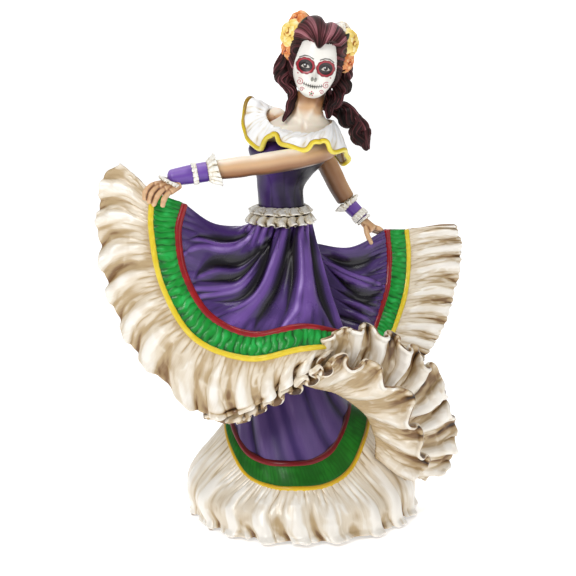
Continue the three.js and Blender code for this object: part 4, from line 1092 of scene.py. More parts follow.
def cuff(side, start, end, radius, braid_at, braid_half, lean, flare, tall=1.0, wrist_drop=0.0):
    """A satin cuff from start to end with its braid, its frill and the lace over the wrist.

    The wrist lace is flare wider than the cuff and tall for its width, leans over the hand, and
    hangs lower by wrist_drop.
    """
    line = lambda t: np.asarray(start) + np.outer(t, np.subtract(end, start))
    t = np.linspace(0.02, 1.06, 80)
    shape = (radius - 0.9 * t + 0.25 * np.sin(math.pi * t)) * round_ends(np.linspace(0, 1, 80), 0.12)
    grid = tube_grid(line(t), shape, 60)
    points, quads, caps = closed_tube(grid)
    height = (grid - line(t)[None])[..., 2] / shape[None]
    cloudy = 0.08 * mottle(np.tile(t, 60), np.repeat(np.linspace(0, 1, 60), 80), 87, 6, 5)
    # painted highlight on top of the cuff and painted shade underneath; cloudy is uneven tone
    fields = {"wash": np.clip(0.42 - 0.3 * height.ravel() + cloudy, 0, 1)}
    fit(new_object(f"{side}_cuff_satin", points, quads, M_CUFF, fields, caps), f"{side}_cuff")
    lace_ruffle(f"{side}_cuff_braid_lace", f"{side}_cuff_braid",
                hoop(start, end, braid_at - braid_half, radius - 0.1),
                hoop(start, end, braid_at + braid_half, radius - 0.3), 14, 0.35, 84, 0.3, 0.1, 1.1, 300,
                18)
    lace_ruffle(f"{side}_cuff_frill", f"{side}_cuff_lace", hoop(start, end, 0.1, radius - 0.2),
                hoop(start, end, -0.16, radius + 2.2, 0.9), 15, 0.7, 85, 0.5, 0.12, 0.9, 500, 34)
    drop = np.array([0.0, -0.3, -1.0]) * wrist_drop
    last = np.asarray(end) + drop
    lace_ruffle(f"{side}_wrist_frill", f"{side}_wrist_lace",
                hoop(start, last, 0.93, radius - 0.6, lean, tall),
                hoop(start, last, 1.04, radius + flare, lean, tall), 14, 0.35, 86, 0.5, 0.1, 0.8, 300, 20)


LEFT_WRIST = ([-30.6, -38, 171], [-49.6, -40, 168])
RIGHT_WRIST = ([33.2, 19.4, 146], [40.4, 17.2, 138.9])


# ---------------------------------------------------------------- arms and hands
LEFT_ARM = [[26, 2, 180.5], [20.5, -9, 176.6], [9.3, -21, 174.6], [-5, -30.5, 173.4], [-18, -36, 172.4],
            [-29.7, -38, 171.3]]
RIGHT_ARM = [[-2.5, 7, 190.5], [-1, 15, 185], [5, 20.5, 180], [13, 22, 175], [20.5, 20.5, 169],
             [24.6, 20, 162], [28, 20, 155], [32.4, 19.8, 147.4]]


def arm(name, node, path, elbow, tone_and_shade):
    """An arm along a path, paler at the shoulder, with painted highlight on top and painted shade below;
    tone_and_shade is the wash lower down.
    """
    t = edge_steps(150, 0.4)
    line = catmull(path, t)
    swell = np.clip(np.sin(math.pi * np.clip(1.3 * t - 0.5, 0, 1)), 0, 1)
    crook = 0.35 * np.exp(-(((t - elbow) / 0.05) ** 2))
    radius = (5.5 - 1.3 * t + 0.4 * swell - crook) * round_ends(t, 0.03)
    grid = tube_grid(line, radius, 64)
    points, quads, caps = closed_tube(grid)
    middle = np.tile(line, (64, 1))
    under = (points - middle)[:, 2] / np.tile(np.maximum(radius, 0.5), 64)
    # under is height round the arm: painted highlight on top, painted shade underneath
    wash = tone_and_shade * (0.5 + 0.5 * np.tile(smooth(0, 0.3, t), 64)) - 0.5 * under
    fit(new_object(name, points, quads, M_SKIN, {"wash": np.clip(wash, 0, 1)}, caps), node)


def finger(points, radius):
    """A finger or thumb with knuckles, as a tube grid."""
    t = np.linspace(0, 1, 34)
    knuckles = 0.08 * np.exp(-(((t - 0.33) / 0.08) ** 2)) + 0.08 * np.exp(-(((t - 0.68) / 0.07) ** 2))
    size = radius * (1 - 0.3 * t + knuckles) * round_ends(t, 0.09)
    return tube_grid(catmull(points, t), size, 16)


def hand(name, node, grids):
    """Joins a palm and fingers into one skin with smooth webs between them."""
    points, quads, caps = joined([closed_tube(grid) for grid in grids])
    rough = new_object(name, points, quads, M_SKIN, None, caps)
    melt = rough.modifiers.new("melt", "REMESH")
    melt.mode = "VOXEL"
    melt.voxel_size = 0.00026
    melt.use_smooth_shade = True
    ease = rough.modifiers.new("ease", "SMOOTH")
    ease.factor = 0.5
    ease.iterations = 4
    graph = bpy.context.evaluated_depsgraph_get()
    mesh = bpy.data.meshes.new_from_object(rough.evaluated_get(graph))
    rough.modifiers.clear()
    rough.data = mesh
    co = np.empty(len(mesh.vertices) * 3, np.float32)
    mesh.vertices.foreach_get("co", co)
    co = co.reshape(-1, 3)
    edges = np.empty(len(mesh.edges) * 2, np.int32)
    mesh.edges.foreach_get("vertices", edges)
    edges = edges.reshape(-1, 2)
    hollow = hollowness(co, edges, mesh, 5)
    layer = mesh.attributes.new("wash", "FLOAT", "POINT")
    # painted shade in hollows between the fingers, painted highlight on rounded parts
    layer.data.foreach_set("value", np.clip(0.66 + 0.6 * hollow, 0, 1).astype(np.float32))
    fit(rough, node)


def hollowness(co, edges, mesh, passes):
    """How far each point sinks below its neighbours, spread over a few rounds of neighbours."""
    normal = np.empty(len(mesh.vertices) * 3, np.float32)
    mesh.vertices.foreach_get("normal", normal)
    normal = normal.reshape(-1, 3)
    total = np.zeros_like(co)
    count = np.zeros(len(co))
    for a, b in ((0, 1), (1, 0)):
        np.add.at(total, edges[:, a], co[edges[:, b]])
        np.add.at(count, edges[:, a], 1)
    sunk = ((total / np.maximum(count, 1)[:, None] - co) * normal).sum(-1) / 0.00003
    for _ in range(passes):
        spread = np.zeros(len(co))
        for a, b in ((0, 1), (1, 0)):
            np.add.at(spread, edges[:, a], sunk[edges[:, b]])
        sunk = 0.4 * sunk + 0.6 * spread / np.maximum(count, 1)
    return np.clip(sunk, -0.5, 0.9)


LEFT_PALM_START = [-45.6, -40.4, 165.6]
# knuckle, middle joint and tip of each finger of the left hand, from the outermost one in
LEFT_FINGERS = [
    ([-57.2, -43.2, 165], [-60.2, -45.5, 162.6], [-60.7, -46, 158.5]),
    ([-54.8, -43.8, 164.5], [-57.6, -46, 161.8], [-58.9, -46.6, 157]),
    ([-52.3, -44.2, 163.4], [-54.9, -46.3, 160.7], [-56.9, -46.8, 155.9]),
    ([-49.9, -44.2, 162.2], [-51.9, -46.3, 159.2], [-52.7, -46.8, 155.5]),
]


def hands():
    t = np.linspace(0, 1, 30)
    grids = []
    for knuckle, middle, tip in LEFT_FINGERS:
        back_of_hand = catmull([LEFT_PALM_START, knuckle], t)
        grids.append(tube_grid(back_of_hand, (2.7 - 0.8 * t) * round_ends(t, 0.1), 20))
        root = np.asarray(knuckle) + 0.3 * (np.asarray(LEFT_PALM_START) - knuckle)
        grids.append(finger([root, knuckle, middle, tip], 1.6))
    hand("left_hand_skin", "left_hand", grids)
    palm = catmull([[39.6, 17.2, 139], [42.4, 16.7, 136.2], [45.2, 16.4, 133.6]], t)
    grids = [tube_grid(palm, (2.5 + 0.8 * t) * round_ends(t, 0.16), 24, flat=0.85)]
    grids.append(finger([[41.4, 15.4, 136.4], [42.1, 12.8, 132.2], [44.3, 11.6, 127.6]], 1.45))
    for k in range(3):
        grids.append(finger([[44.6 - 0.6 * k, 16.6 + 1.6 * k, 135.6 - k],
                             [48.6 - 0.6 * k, 17.8 + 1.4 * k, 134 - k],
                             [50.4 - 0.6 * k, 20.6 + 0.9 * k, 130.8 - k]], 1.3))
    hand("right_hand_skin", "right_hand", grids)


# ---------------------------------------------------------------- the head
HEAD = [[-0.4, -7.6, 0.3, 0.3], [0, -7.6, 2.6, 2.4], [1.6, -6.4, 5.2, 4.8], [5, -4.2, 7.9, 8.2],
        [10, -2, 10, 11.3],
        [16, 0, 11.1, 13.2], [22, 1.2, 11.3, 13.6], [27, 1.8, 10.3, 12.4], [31, 2, 7.6, 9.4],
        [33.6, 2, 3, 4], [34.2, 2, 0.3, 0.3]]


def to_head(local):
    """Head space (x, y, height over the chin) to design space."""
    x, y, h = local[..., 0], local[..., 1], local[..., 2]
    c, s = math.cos(HEAD_TILT), math.sin(HEAD_TILT)
    return np.stack([x * c + h * s, y, -x * s + h * c], -1) + np.array(CHIN)


EYE_X, EYE_H = 4.7, 14.4
NOSE_H, MOUTH_H = 8.8, 5.5


def near_line(x, h, line, width):
    """How strongly points lie on a thin painted line given as a list of (x, h) points."""
    best = np.full(x.shape, 1e9)
    for (x0, h0), (x1, h1) in zip(line[:-1], line[1:]):
        dx, dh = x1 - x0, h1 - h0
        t = np.clip(((x - x0) * dx + (h - h0) * dh) / (dx * dx + dh * dh), 0, 1)
        best = np.minimum(best, np.hypot(x - x0 - t * dx, h - h0 - t * dh))
    return 1 - smooth(width * 0.6, width, best)


def spiral(cx, ch, size, turns, handed, start):
    """A painted scroll as (x, h) points, turning the other way when handed is -1."""
    t = np.linspace(0, 1, 40)
    radius = size * (1 - 0.85 * t)
    angle = start + turns * TAU * t
    return list(zip(cx + handed * radius * np.cos(angle), ch + radius * np.sin(angle)))


BONE, BONE_SHADE, LIP_SHADE, NOSE_SHADE = "f4f1ea", "b8b4a6", "8e8a7c", "8a8c7e"
PETAL_DARK, PETAL_RED, SCROLL_RED = "7c0d1c", "a8182c", "b8505c"
SOCKET_BLACK, SOCKET_GLOW, NOSE_GREY = "140a0c", "3a2426", "55544a"
EYE_WHITE, IRIS, LASH, GLINT, BROW = "cfc8be", "20120e", "0a0506", "ffffff", "2a1a18"
STITCH_BLACK, CHIN_GREEN = "0c0808", "3f7a44"


def face_colours(x, h, front):
    """The skull paint: white ground, dark petalled sockets, stitched mouth, scrolls, chin dot."""
    colour = np.ones(x.shape + (3,)) * np.array(linear(BONE)[:3])

    def lay(mask, hex_colour):
        mask = (np.clip(mask, 0, 1) * front)[..., None]
        colour[...] = colour * (1 - mask) + np.array(linear(hex_colour)[:3]) * mask

    lay(0.35 * np.exp(-(((np.abs(x) - 6.6) / 1.6) ** 2 + ((h - 8) / 4) ** 2)), BONE_SHADE)
    lay(0.4 * np.exp(-((h - 0.6) / 1.2) ** 2), BONE_SHADE)
    for side in (-1, 1):
        dx, dh = x - side * EYE_X, h - EYE_H
        angle = np.arctan2(dh, dx)
        far = np.hypot(dx / 3.7, dh / 3.2)
        petals = 1 + 0.07 * np.abs(np.cos(5 * angle))
        lay(1 - smooth(1.13, 1.2, far / petals), PETAL_DARK)
        lay(1 - smooth(0.98, 1.06, far / petals), PETAL_RED)
        lay(1 - smooth(0.84, 0.92, far), SOCKET_BLACK)
        lay(0.5 * np.exp(-(((far - 0.6) / 0.1) ** 2)), SOCKET_GLOW)
        eye = np.hypot(dx / 2.0, (dh + 0.1 + 0.06 * dx**2) / 0.95)
        lay(1 - smooth(0.92, 1.02, eye), EYE_WHITE)
        iris = np.hypot(dx - 0.1 * side, dh + 0.05)
        lay((1 - smooth(0.92, 1.02, iris)) * (eye < 1), IRIS)
        lay(near_line(dx, dh, [(-2.1, -0.3), (-1.2, 0.65), (0, 0.95), (1.2, 0.65), (2.1, -0.3)], 0.28),
            LASH)
        glint = np.hypot(dx + 0.35, dh - 0.35)
        lay(1 - smooth(0.26, 0.34, glint), GLINT)
        brow = [(side * 1.6, 18.0), (side * 3.6, 18.9), (side * 5.8, 18.9), (side * 8.0, 17.6)]
        lay(0.9 * near_line(x, h, brow, 0.34), BROW)
        scrolls = [spiral(side * 6.2, 6.6, 1.7, 1.5, side, 1.2),
                   spiral(side * 4.6, 3.2, 1.1, 1.3, -side, 0.4)]
        for scroll in scrolls:
            lay(0.85 * near_line(x, h, scroll, 0.26), SCROLL_RED)
        lay(1 - smooth(0.3, 0.42, np.hypot(x - side * 7.6, h - 10.4)), SCROLL_RED)
        nose = np.hypot((x - side * 0.72) / 0.75, (h - NOSE_H - 0.1) / 1.25)
        lay(0.85 * (1 - smooth(0.8, 1.05, nose)), NOSE_GREY)
    lay(0.3 * np.exp(-((x / 1.2) ** 2 + ((h - 10.2) / 2.0) ** 2)), NOSE_SHADE)
    lay(0.55 * np.exp(-((x / 2.4) ** 2 + ((h - MOUTH_H) / 0.9) ** 2)), LIP_SHADE)
    smile = [(s, MOUTH_H + 0.035 * s * s) for s in np.linspace(-4.6, 4.6, 12)]
    lay(near_line(x, h, smile, 0.24), STITCH_BLACK)
    for k in range(9):
        s = -4 + k
        lay(near_line(x, h, [(s, MOUTH_H + 0.035 * s * s - 0.75), (s, MOUTH_H + 0.035 * s * s + 0.75)],
                      0.17), STITCH_BLACK)
    lay(1 - smooth(0.35, 0.5, np.hypot(x, h - 2.1)), CHIN_GREEN)
    for k in range(5):
        a = TAU * k / 5 + 0.3
        lay(1 - smooth(0.3, 0.4, np.hypot(x - 0.85 * math.cos(a), h - 2.1 - 0.85 * math.sin(a))),
            SCROLL_RED)
    return colour


# the face's relief: x, height, half sizes in x and height, and how far it stands out
MIDDLE_RELIEF = [
    (0, 1.4, 2.4, 1.7, 0.9),  # chin
    (0, 25, 7, 4, 0.3),  # forehead
    (0, 9.6, 1.1, 1.0, 0.7),  # tip of the nose
    (0, 6.5, 2.6, 0.55, 0.45),  # upper lip
    (0, 4.6, 2.2, 0.7, 0.65),  # lower lip
    (0, MOUTH_H, 3.4, 0.28, -0.4),  # line of the mouth
    (0, 3.2, 2.6, 0.7, -0.35),  # hollow over the chin
]
SIDE_RELIEF = [
    (EYE_X, EYE_H, 2.9, 2.2, -1.5),  # socket
    (EYE_X, EYE_H - 0.2, 1.8, 1.1, 1.05),  # eyeball
    (5.0, 18.2, 3.0, 0.9, 0.35),  # brow
    (6.6, 10.6, 2.4, 2.2, 0.75),  # cheekbone
    (1.25, 8.9, 0.6, 0.7, 0.8),  # side of the nose
    (5.2, 6.2, 1.6, 2.4, -0.3),  # hollow of the cheek
]
LID_CURVE = [(-2.2, -0.2), (-1.2, 0.9), (0, 1.25), (1.2, 0.9), (2.2, -0.2)]  # from the eye's middle
BRIDGE_HEIGHT = 2.5
LID_HEIGHT = 0.22


def face_relief(x, h):
    """How far the face stands out of the plain shape of the head."""

    def swell(cx, ch, half_x, half_h, size):
        return size * np.exp(-(((x - cx) / half_x) ** 2 + ((h - ch) / half_h) ** 2))

    out = sum(swell(*feature) for feature in MIDDLE_RELIEF)
    bridge = np.exp(-((x / (0.85 + 0.09 * (15 - h))) ** 2))
    out = out + BRIDGE_HEIGHT * bridge * smooth(15.8, 9.6, h) * smooth(7.9, 9.3, h)
    for side in (-1, 1):
        for cx, *rest in SIDE_RELIEF:
            out = out + swell(side * cx, *rest)
        lid = [(side * EYE_X + dx, EYE_H + dh) for dx, dh in LID_CURVE]
        out = out + LID_HEIGHT * near_line(x, h, lid, 0.5)
    return out


def head():
    levels, around = 460, 520
    t = np.linspace(0, 1, levels)
    h, y, a, b = catmull(np.array(HEAD, float), t).T
    a, b = np.maximum(a, 0.05), np.maximum(b, 0.05)
    even = np.linspace(-1, 1, around, endpoint=False)
    angle = -math.pi / 2 + math.pi * (0.62 * even + 0.38 * np.sign(even) * even**2)
    local = np.zeros((around, levels, 3))
    local[..., 0] = a * np.cos(angle)[:, None]
    local[..., 1] = y + b * np.sin(angle)[:, None]
    local[..., 2] = h
    x, hh = local[..., 0], local[..., 2]
    front = smooth(0.1, -0.35, np.sin(angle))[:, None] * np.ones_like(x)
    local[..., 1] -= face_relief(x, hh) * front
    points = to_head(local)
    colour = face_colours(x, hh, front)
    p, quads, caps = closed_tube(points)
    fields = {"wash": np.zeros(len(p)), "brushed": colour.reshape(-1, 3)}
    fit(new_object("head_painted", p, quads, M_FACE, fields, caps), "head")


# ---------------------------------------------------------------- hair
HAIR = [[2.6, 4.4, 6.5, 7.5], [3, 4, 8.5, 9.5], [9, 3.2, 12.2, 13.2], [16, 2.6, 13.2, 14.8],
        [23, 1.6, 13.6, 16],
        [29, 0.6, 12.8, 15.6], [33.5, 0.4, 10.2, 12.4], [36.4, 0.6, 5.6, 7], [37.2, 0.8, 0.4, 0.5]]
PEAK_H = 23.2


def hair_cap():
    levels, around = 320, 900
    t = np.linspace(0, 1, levels)
    h, y, a, b = catmull(np.array(HAIR, float), t).T
    a, b = np.maximum(a, 0.2), np.maximum(b, 0.2)
    angle = np.arange(around) * TAU / around - math.pi / 2
    ca, sa = np.cos(angle)[:, None], np.sin(angle)[:, None]
    x, hh = a * ca, h * np.ones_like(ca)
    away = np.abs(x)
    hairline = PEAK_H + 1.2 * away**0.75 * smooth(0, 3, away) - 0.24 * np.maximum(away - 4, 0) ** 1.7
    face = smooth(10.6, 9.2, np.abs(x)) * smooth(0.9, -0.9, hh - hairline) * (sa < -0.15)
    fan = np.arctan2(x, np.maximum(hh - 19.0, 0.6) + 0.25 * (b * sa + 16))
    strand = fan * 11 + 0.35 * np.abs(x)
    side_flow = (y + b * sa) * 0.62 + 0.4 * np.sin(0.35 * hh)
    low = smooth(25, 9, hh)
    run = strand * (1 - low) + side_flow * low
    clump = np.sin(np.abs(run) * 1.7 + 0.6 * np.sin(run * 0.9)) * 0.45 + 0.3 * np.sin(run * 4.3 + 1.1)
    clump = clump + 0.26 * np.sin(run * 9.7 + 0.8 * np.sin(run * 2.3)) + 0.14 * np.sin(run * 17.3)
    part = np.exp(-((x / 0.5) ** 2)) * smooth(22, 24, hh) * smooth(29, 25, hh) * smooth(6, -2, y + b * sa)
    lobes = 0.9 * np.exp(-(((np.abs(x) - 5.2) / 3.4) ** 2) - ((hh - 31) / 4.2) ** 2) * (sa < 0)
    out = 0.36 * clump + lobes - 0.3 * part
    shrink = 1 - 0.22 * face
    crown = smooth(28, 36, hh)
    sink = crown * (1.9 * np.exp(-(((x - 1.7) / 1.9) ** 2)) + 1.5 * smooth(-3, 5, x)
                    + 0.8 * (1 - smooth(-11, -6, x)))
    local = np.stack([(a + out) * ca * shrink, y + (b + out) * sa * shrink, hh - sink], -1)
    points, quads, caps = closed_tube(to_head(local))
    # painted highlight on the crown, clumps and lobes, painted shade between clumps and in the parting;
    # slow wave is uneven tone
    wash = 0.5 - 0.24 * smooth(24, 31, hh) - 0.36 * clump - 0.1 * lobes + 0.2 * part
    wash = wash + 0.16 * np.sin(run * 0.7 + 2)
    fit(new_object("hair_cap_strands", points, quads, M_HAIR, {"wash": np.clip(wash, 0, 1).ravel()},
                   caps), "hair_cap")


STRAND_SIDES = 60  # points round a strand of hair
STRAND_STEPS = 170  # points along it


def lock(name, node, path, radii, strands, twist, seed, waves=3.0):
    """A lock of hair: tapered strands winding loosely round one another, in waves."""
    rng = np.random.RandomState(seed)
    t = np.linspace(0, 1, STRAND_STEPS)
    line = catmull(path, t)
    size = catmull(np.array(radii, float)[:, None], t)[:, 0]
    tangent = unit(np.gradient(line, axis=0))
    side = unit(np.cross(tangent, [0.3, 1.0, 0.1]))
    other = np.cross(tangent, side)
    shapes, wash = [], []
    for k in range(strands):
        start = rng.uniform(0, TAU)
        a = TAU * k / strands + twist * TAU * t + 0.7 * np.sin(TAU * waves * t + start)
        off = size * (0.5 + 0.16 * np.sin(TAU * waves * t + start))
        path_k = line + off[:, None] * (np.cos(a)[:, None] * side + np.sin(a)[:, None] * other)
        thick = size * (0.52 + 0.1 * np.sin(TAU * (waves + 0.7) * t + 2 * start))

        def groove(b, s):
            hairs = np.sin(6 * b + 9 * s) + 0.6 * np.sin(13 * b - 7 * s)
            return 0.07 * hairs * np.interp(s, t, thick)

        grid = tube_grid(path_k, thick * round_ends(t, 0.05), STRAND_SIDES, groove=groove)
        shapes.append(closed_tube(grid))
        b, s = np.meshgrid(np.arange(STRAND_SIDES) * TAU / STRAND_SIDES, t, indexing="ij")
        # painted highlight on the raised hairs, painted shade in their grooves; the wave along the strand
        # is uneven tone
        strand_wash = 0.58 - 0.2 * np.sin(6 * b + 9 * s) - 0.16 * np.sin(13 * b - 7 * s)
        strand_wash = strand_wash + 0.2 * np.sin(9 * s + 2 * k)
        wash.append(strand_wash.ravel())
    points, quads, caps = joined(shapes)
    fields = {"wash": np.clip(np.concatenate(wash), 0, 1)}
    fit(new_object(name, points, quads, M_HAIR, fields, caps), node)


def hair():
    hair_cap()
    lock("hair_left_strands", "hair_lock_left",
         [[4.5, 0, 222], [1.6, 0, 214], [2.4, -0.5, 208], [5.8, -2, 202.5], [4.6, -5.6, 196],
          [1.4, -8.4, 189.6]],
         [2.4, 4.4, 4.6, 3.4, 2.9, 2.2, 1.6, 0.9], 5, 1.1, 91, 2.6)
    lock("hair_right_strands", "hair_lock_right",
         [[29, 3, 220], [30, 3.4, 212], [29.4, 3, 205.5], [27, 2, 200.5], [23.6, 0, 196.4],
          [22.4, -4, 190.6]],
         [2.4, 3.4, 3.8, 4.2, 3.2, 3.4, 2.2, 1.1], 5, -1.0, 92, 2.6)
    lock("ponytail_strands", "ponytail",
         [[17, 15, 207], [21, 15.4, 199], [26.5, 14, 192.6], [32.6, 11, 190], [36.4, 9.6, 186],
          [38.4, 8.6, 180.6], [42, 8, 174]],
         [4.6, 4.8, 4.4, 3.6, 4.2, 5, 4.6, 3.9, 4.8, 4.6, 3, 1.3], 6, 0.9, 93, 3.0)


# ---------------------------------------------------------------- flowers
PETAL_STEPS = 13  # points along and across a petal
PETAL_THICK = 0.42  # mm


def petal(turn, open_angle, radius, width, curl):
    """One petal as a middle surface: turn round the flower, leaning out by open_angle."""
    s = np.linspace(-1, 1, PETAL_STEPS)[:, None]
    t = edge_steps(PETAL_STEPS, 0.3)[None, :]
    spread = width * np.sin(math.pi * (0.16 + 0.66 * t)) ** 0.8
    lean = open_angle * (0.35 + 0.65 * t) + curl * smooth(0.6, 1, t)
    out = radius * t * np.sin(lean) + 0.25 * radius
    up = radius * t * np.cos(lean) - 0.15 * radius * s**2 * t
    sideways = spread * s
    inward = 0.35 * spread * s**2 * (1.2 - t)
    x = out - inward
    c, d = math.cos(turn), math.sin(turn)
    notch = 0.06 * radius * np.abs(np.sin(2.5 * s)) * smooth(0.7, 1, t)
    return np.stack([x * c - sideways * d, x * d + sideways * c, up - notch + 0 * s], -1)


# layers of a rose: petals, lean in radians, length and width as shares of the radius, curl
ROSE_LAYERS = [
    (3, 0.3, 0.8, 0.3, 0.6),
    (4, 0.6, 0.95, 0.42, 1.0),
    (5, 0.95, 1.08, 0.44, 1.1),
    (6, 1.3, 1.2, 0.42, 1.0),
]


def rose(name, node, centre, radius, towards, material, seed):
    """A paper rose of four layers of petals round a whorled middle, opening towards a direction."""
    rng = np.random.RandomState(seed)
    axis = unit(np.array(towards, float))
    side = unit(np.cross(axis, [0.0, 0.0, 1.0]))
    up = np.cross(side, axis)
    shapes, wash = [], []
    for number, lean, reach, width, curl in ROSE_LAYERS:
        for k in range(number):
            turn = TAU * k / number + lean * 2 + rng.uniform(-0.15, 0.15)
            local = petal(turn, lean + rng.uniform(-0.06, 0.06), radius * reach, radius * width, curl)
            local = local[..., 0:1] * side + local[..., 1:2] * up + local[..., 2:3] * axis
            shapes.append((*thick_sheet(np.asarray(centre) + local, PETAL_THICK, False), ()))
            tip = np.tile(np.linspace(0, 1, PETAL_STEPS)[None, :], (PETAL_STEPS, 1)).ravel()
            # petals darker towards their base: partly the rose's two-tone paint, partly painted shade
            # deep in the flower
            wash.append(np.tile(0.85 - 0.85 * smooth(0.3, 0.88, tip) + rng.uniform(-0.08, 0.08), 2))
    t = np.linspace(0, 1, 26)
    stem = np.asarray(centre) + axis * (0.75 * radius * t[:, None] - 0.1 * radius)
    whorl = lambda a, s: 0.07 * radius * np.sin(2 * a + 13 * s) * np.sin(math.pi * s)
    grid = tube_grid(stem, 0.36 * radius * np.sin(math.pi * (0.2 + 0.79 * t)) ** 0.6, 30, groove=whorl)
    shapes.append(closed_tube(grid))
    a, b = np.meshgrid(np.arange(30) * TAU / 30, t, indexing="ij")
    # painted shade in the grooves of the whorl, painted highlight on its ridges
    wash.append((0.55 - 0.4 * np.sin(2 * a + 13 * b)).ravel())
    points, quads, caps = joined(shapes)
    fields = {"wash": np.clip(np.concatenate(wash), 0, 1)}
    fit(new_object(name, points, quads, material, fields, caps), node)


def leaf(name, node, start, end, width):
    """A pointed leaf from start to end, folded a little along its middle."""
    t = edge_steps(40, 0.4)[None, :]
    s = np.linspace(-1, 1, 21)[:, None]
    line = np.subtract(end, start).astype(float)
    side = unit(np.cross(line, [0.0, 1.0, 0.2]))
    face = unit(np.cross(side, line))
    shape = width * np.sin(math.pi * np.clip(0.04 + 0.94 * t, 0, 1)) ** 0.8
    middle = np.asarray(start) + t[..., None] * line + (s * shape)[..., None] * side
    middle = middle + (0.3 * width * np.abs(s) * shape / width)[..., None] * face
    wash = 0.6 - 0.5 * np.abs(s) * np.ones_like(t)
    fit(sheet_piece(name, middle, 0.5, False, M_LEAF, wash), node)


def flowers():
    left = [("rose_left_yellow", M_ROSE_YELLOW, "yellow_paint", [5.4, -3.4, 230], 5.6,
             [-0.75, -0.6, 0.25]),
            ("rose_left_peach", M_ROSE_ORANGE, "orange_paint", [8.4, -1, 236], 4.2, [-0.55, -0.5, 0.6]),
            ("rose_left_orange", M_ROSE_ORANGE, "orange_paint", [4.2, -2, 222.4], 4.4,
             [-0.85, -0.5, -0.1])]
    right = [("rose_right_yellow", M_ROSE_YELLOW, "yellow_paint", [32.4, 0, 225.5], 5.4,
              [0.85, -0.5, 0.1]),
             ("rose_right_cream", M_ROSE_CREAM, "white_paint", [30, 1, 231.4], 3.6, [0.7, -0.45, 0.5]),
             ("rose_right_orange", M_ROSE_ORANGE, "orange_paint", [31, -0.6, 216.8], 4.2,
              [0.8, -0.55, -0.15])]
    for seed, (node, material, slot, centre, radius, towards) in enumerate(left + right):
        rose(node + "_petals", node, centre, radius, towards, material, 100 + seed)
    leaf("leaf_left_blade", "leaf_left", [9, -7, 231], [12.4, -9, 238], 1.5)
    leaf("leaf_right_blade", "leaf_right", [29, -6, 226], [32, -9, 230.5], 1.3)


# ---------------------------------------------------------------- the hidden structure
def structure():
    """The foot, core and armature keep their CAD shapes and get real surfaces."""
    for node, material in (("foot_pad", M_FELT), ("foot_board", M_BOARD), ("skirt_core", M_PULP),
                           ("spine_wire", M_WIRE), ("arm_wire", M_WIRE)):
        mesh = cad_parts[node].data
        mesh.materials.clear()
        mesh.materials.append(material)


# ---------------------------------------------------------------- camera, floor and light
CAMERA_FROM = (3.8, -900.0, 300.0)  # mm, design space
CAMERA_PITCH = 12.0  # degrees below level
CAMERA_LENS = 120.2


FLOOR_HALF = 6.0  # m
FLOOR_GLOW = 0.5
WALL_FAR, WALL_HALF, WALL_LOW, WALL_HIGH = 2.6, 1.1, -0.8, 2.2  # m
WALL_GLOW = 0.9
WORLD_LIGHT = 0.32
AIM = (0, 0, 0.12)  # what the lamps point at, m
# name, place in metres, power in watts, width in metres
LAMPS = [
    ("key", (-0.5, -0.85, 0.75), 5.6, 0.4),
    ("fill", (0.9, -0.7, 0.4), 1.8, 0.7),
    ("top", (0.05, 0.1, 1.1), 3.6, 0.6),
]


def camera():
    data = bpy.data.cameras.new("camera")
    data.lens = CAMERA_LENS
    data.sensor_width = 36
    data.clip_start = 0.05
    eye = bpy.data.objects.new("camera", data)
    eye.location = (np.array(CAMERA_FROM) + SHIFT) * MM
    eye.rotation_euler = (math.radians(90 - CAMERA_PITCH), 0, 0)
    bpy.context.collection.objects.link(eye)
    bpy.context.scene.camera = eye


def plane(name, corners, material):
    """A single face of the studio, which is not part of the object."""
    mesh = bpy.data.meshes.new(name)
    mesh.from_pydata(corners, [], [(0, 1, 2, 3)])
    mesh.materials.append(material)
    sheet = bpy.data.objects.new(name, mesh)
    bpy.context.collection.objects.link(sheet)
    return sheet


def glow(material, strength):
    shader = material.node_tree.nodes["Principled BSDF"]
    shader.inputs["Emission Color"].default_value = (1, 1, 1, 1)
    shader.inputs["Emission Strength"].default_value = strength


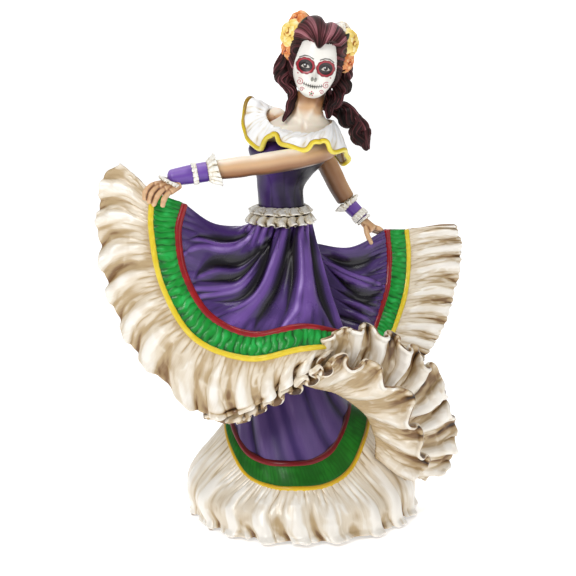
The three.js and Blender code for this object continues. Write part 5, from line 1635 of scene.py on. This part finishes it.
def studio():
    paper = paint("floor_paper", [(0, "ffffff"), (1, "f6f6f5")], rough=0.8, coat=0, grain_depth=0.02,
                  gloss=0.1)
    glow(paper, FLOOR_GLOW)
    h = FLOOR_HALF
    floor = plane("floor", [(-h, -h, 0), (h, -h, 0), (h, h, 0), (-h, h, 0)], paper)

    white = bpy.data.materials.new("backdrop_glow")
    white.use_nodes = True
    shader = white.node_tree.nodes["Principled BSDF"]
    shader.inputs["Base Color"].default_value = (0.8, 0.8, 0.8, 1)
    glow(white, WALL_GLOW)
    corners = [(-WALL_HALF, WALL_FAR, WALL_LOW), (WALL_HALF, WALL_FAR, WALL_LOW),
               (WALL_HALF, WALL_FAR, WALL_HIGH), (-WALL_HALF, WALL_FAR, WALL_HIGH)]
    wall = plane("backdrop", corners, white)


def lights():
    for name, place, energy, width in LAMPS:
        light = bpy.data.lights.new(name, "AREA")
        light.energy = energy
        light.size = width
        lamp = bpy.data.objects.new(name, light)
        lamp.location = place
        aim = np.array(AIM) - np.array(place)
        tip = math.atan2(math.hypot(aim[0], aim[1]), -aim[2])
        lamp.rotation_euler = (tip, 0, math.atan2(-aim[0], aim[1]))
        bpy.context.collection.objects.link(lamp)
    world = bpy.data.worlds.new("studio")
    world.use_nodes = True
    sky = world.node_tree.nodes["Background"]
    sky.inputs["Color"].default_value = (1, 1, 1, 1)
    sky.inputs["Strength"].default_value = WORLD_LIGHT
    bpy.context.scene.world = world
    bpy.context.scene.view_settings.view_transform = "Standard"


lower_skirt()
front_sweep()
side_sweep()
curls()
torso()
bodice()
collar()
waist_lace()
cuff("left", *LEFT_WRIST, radius=4.6, braid_at=0.4, braid_half=0.06, lean=3.4, flare=0.6, tall=0.6,
     wrist_drop=1.6)
cuff("right", *RIGHT_WRIST, radius=3.7, braid_at=0.72, braid_half=0.16, lean=0.3, flare=-0.4)
arm("left_arm_skin", "left_arm", LEFT_ARM, elbow=0.72, tone_and_shade=0.54)
arm("right_arm_skin", "right_arm", RIGHT_ARM, elbow=0.5, tone_and_shade=0.78)
hands()
head()
hair()
flowers()
structure()
camera()
studio()
lights()
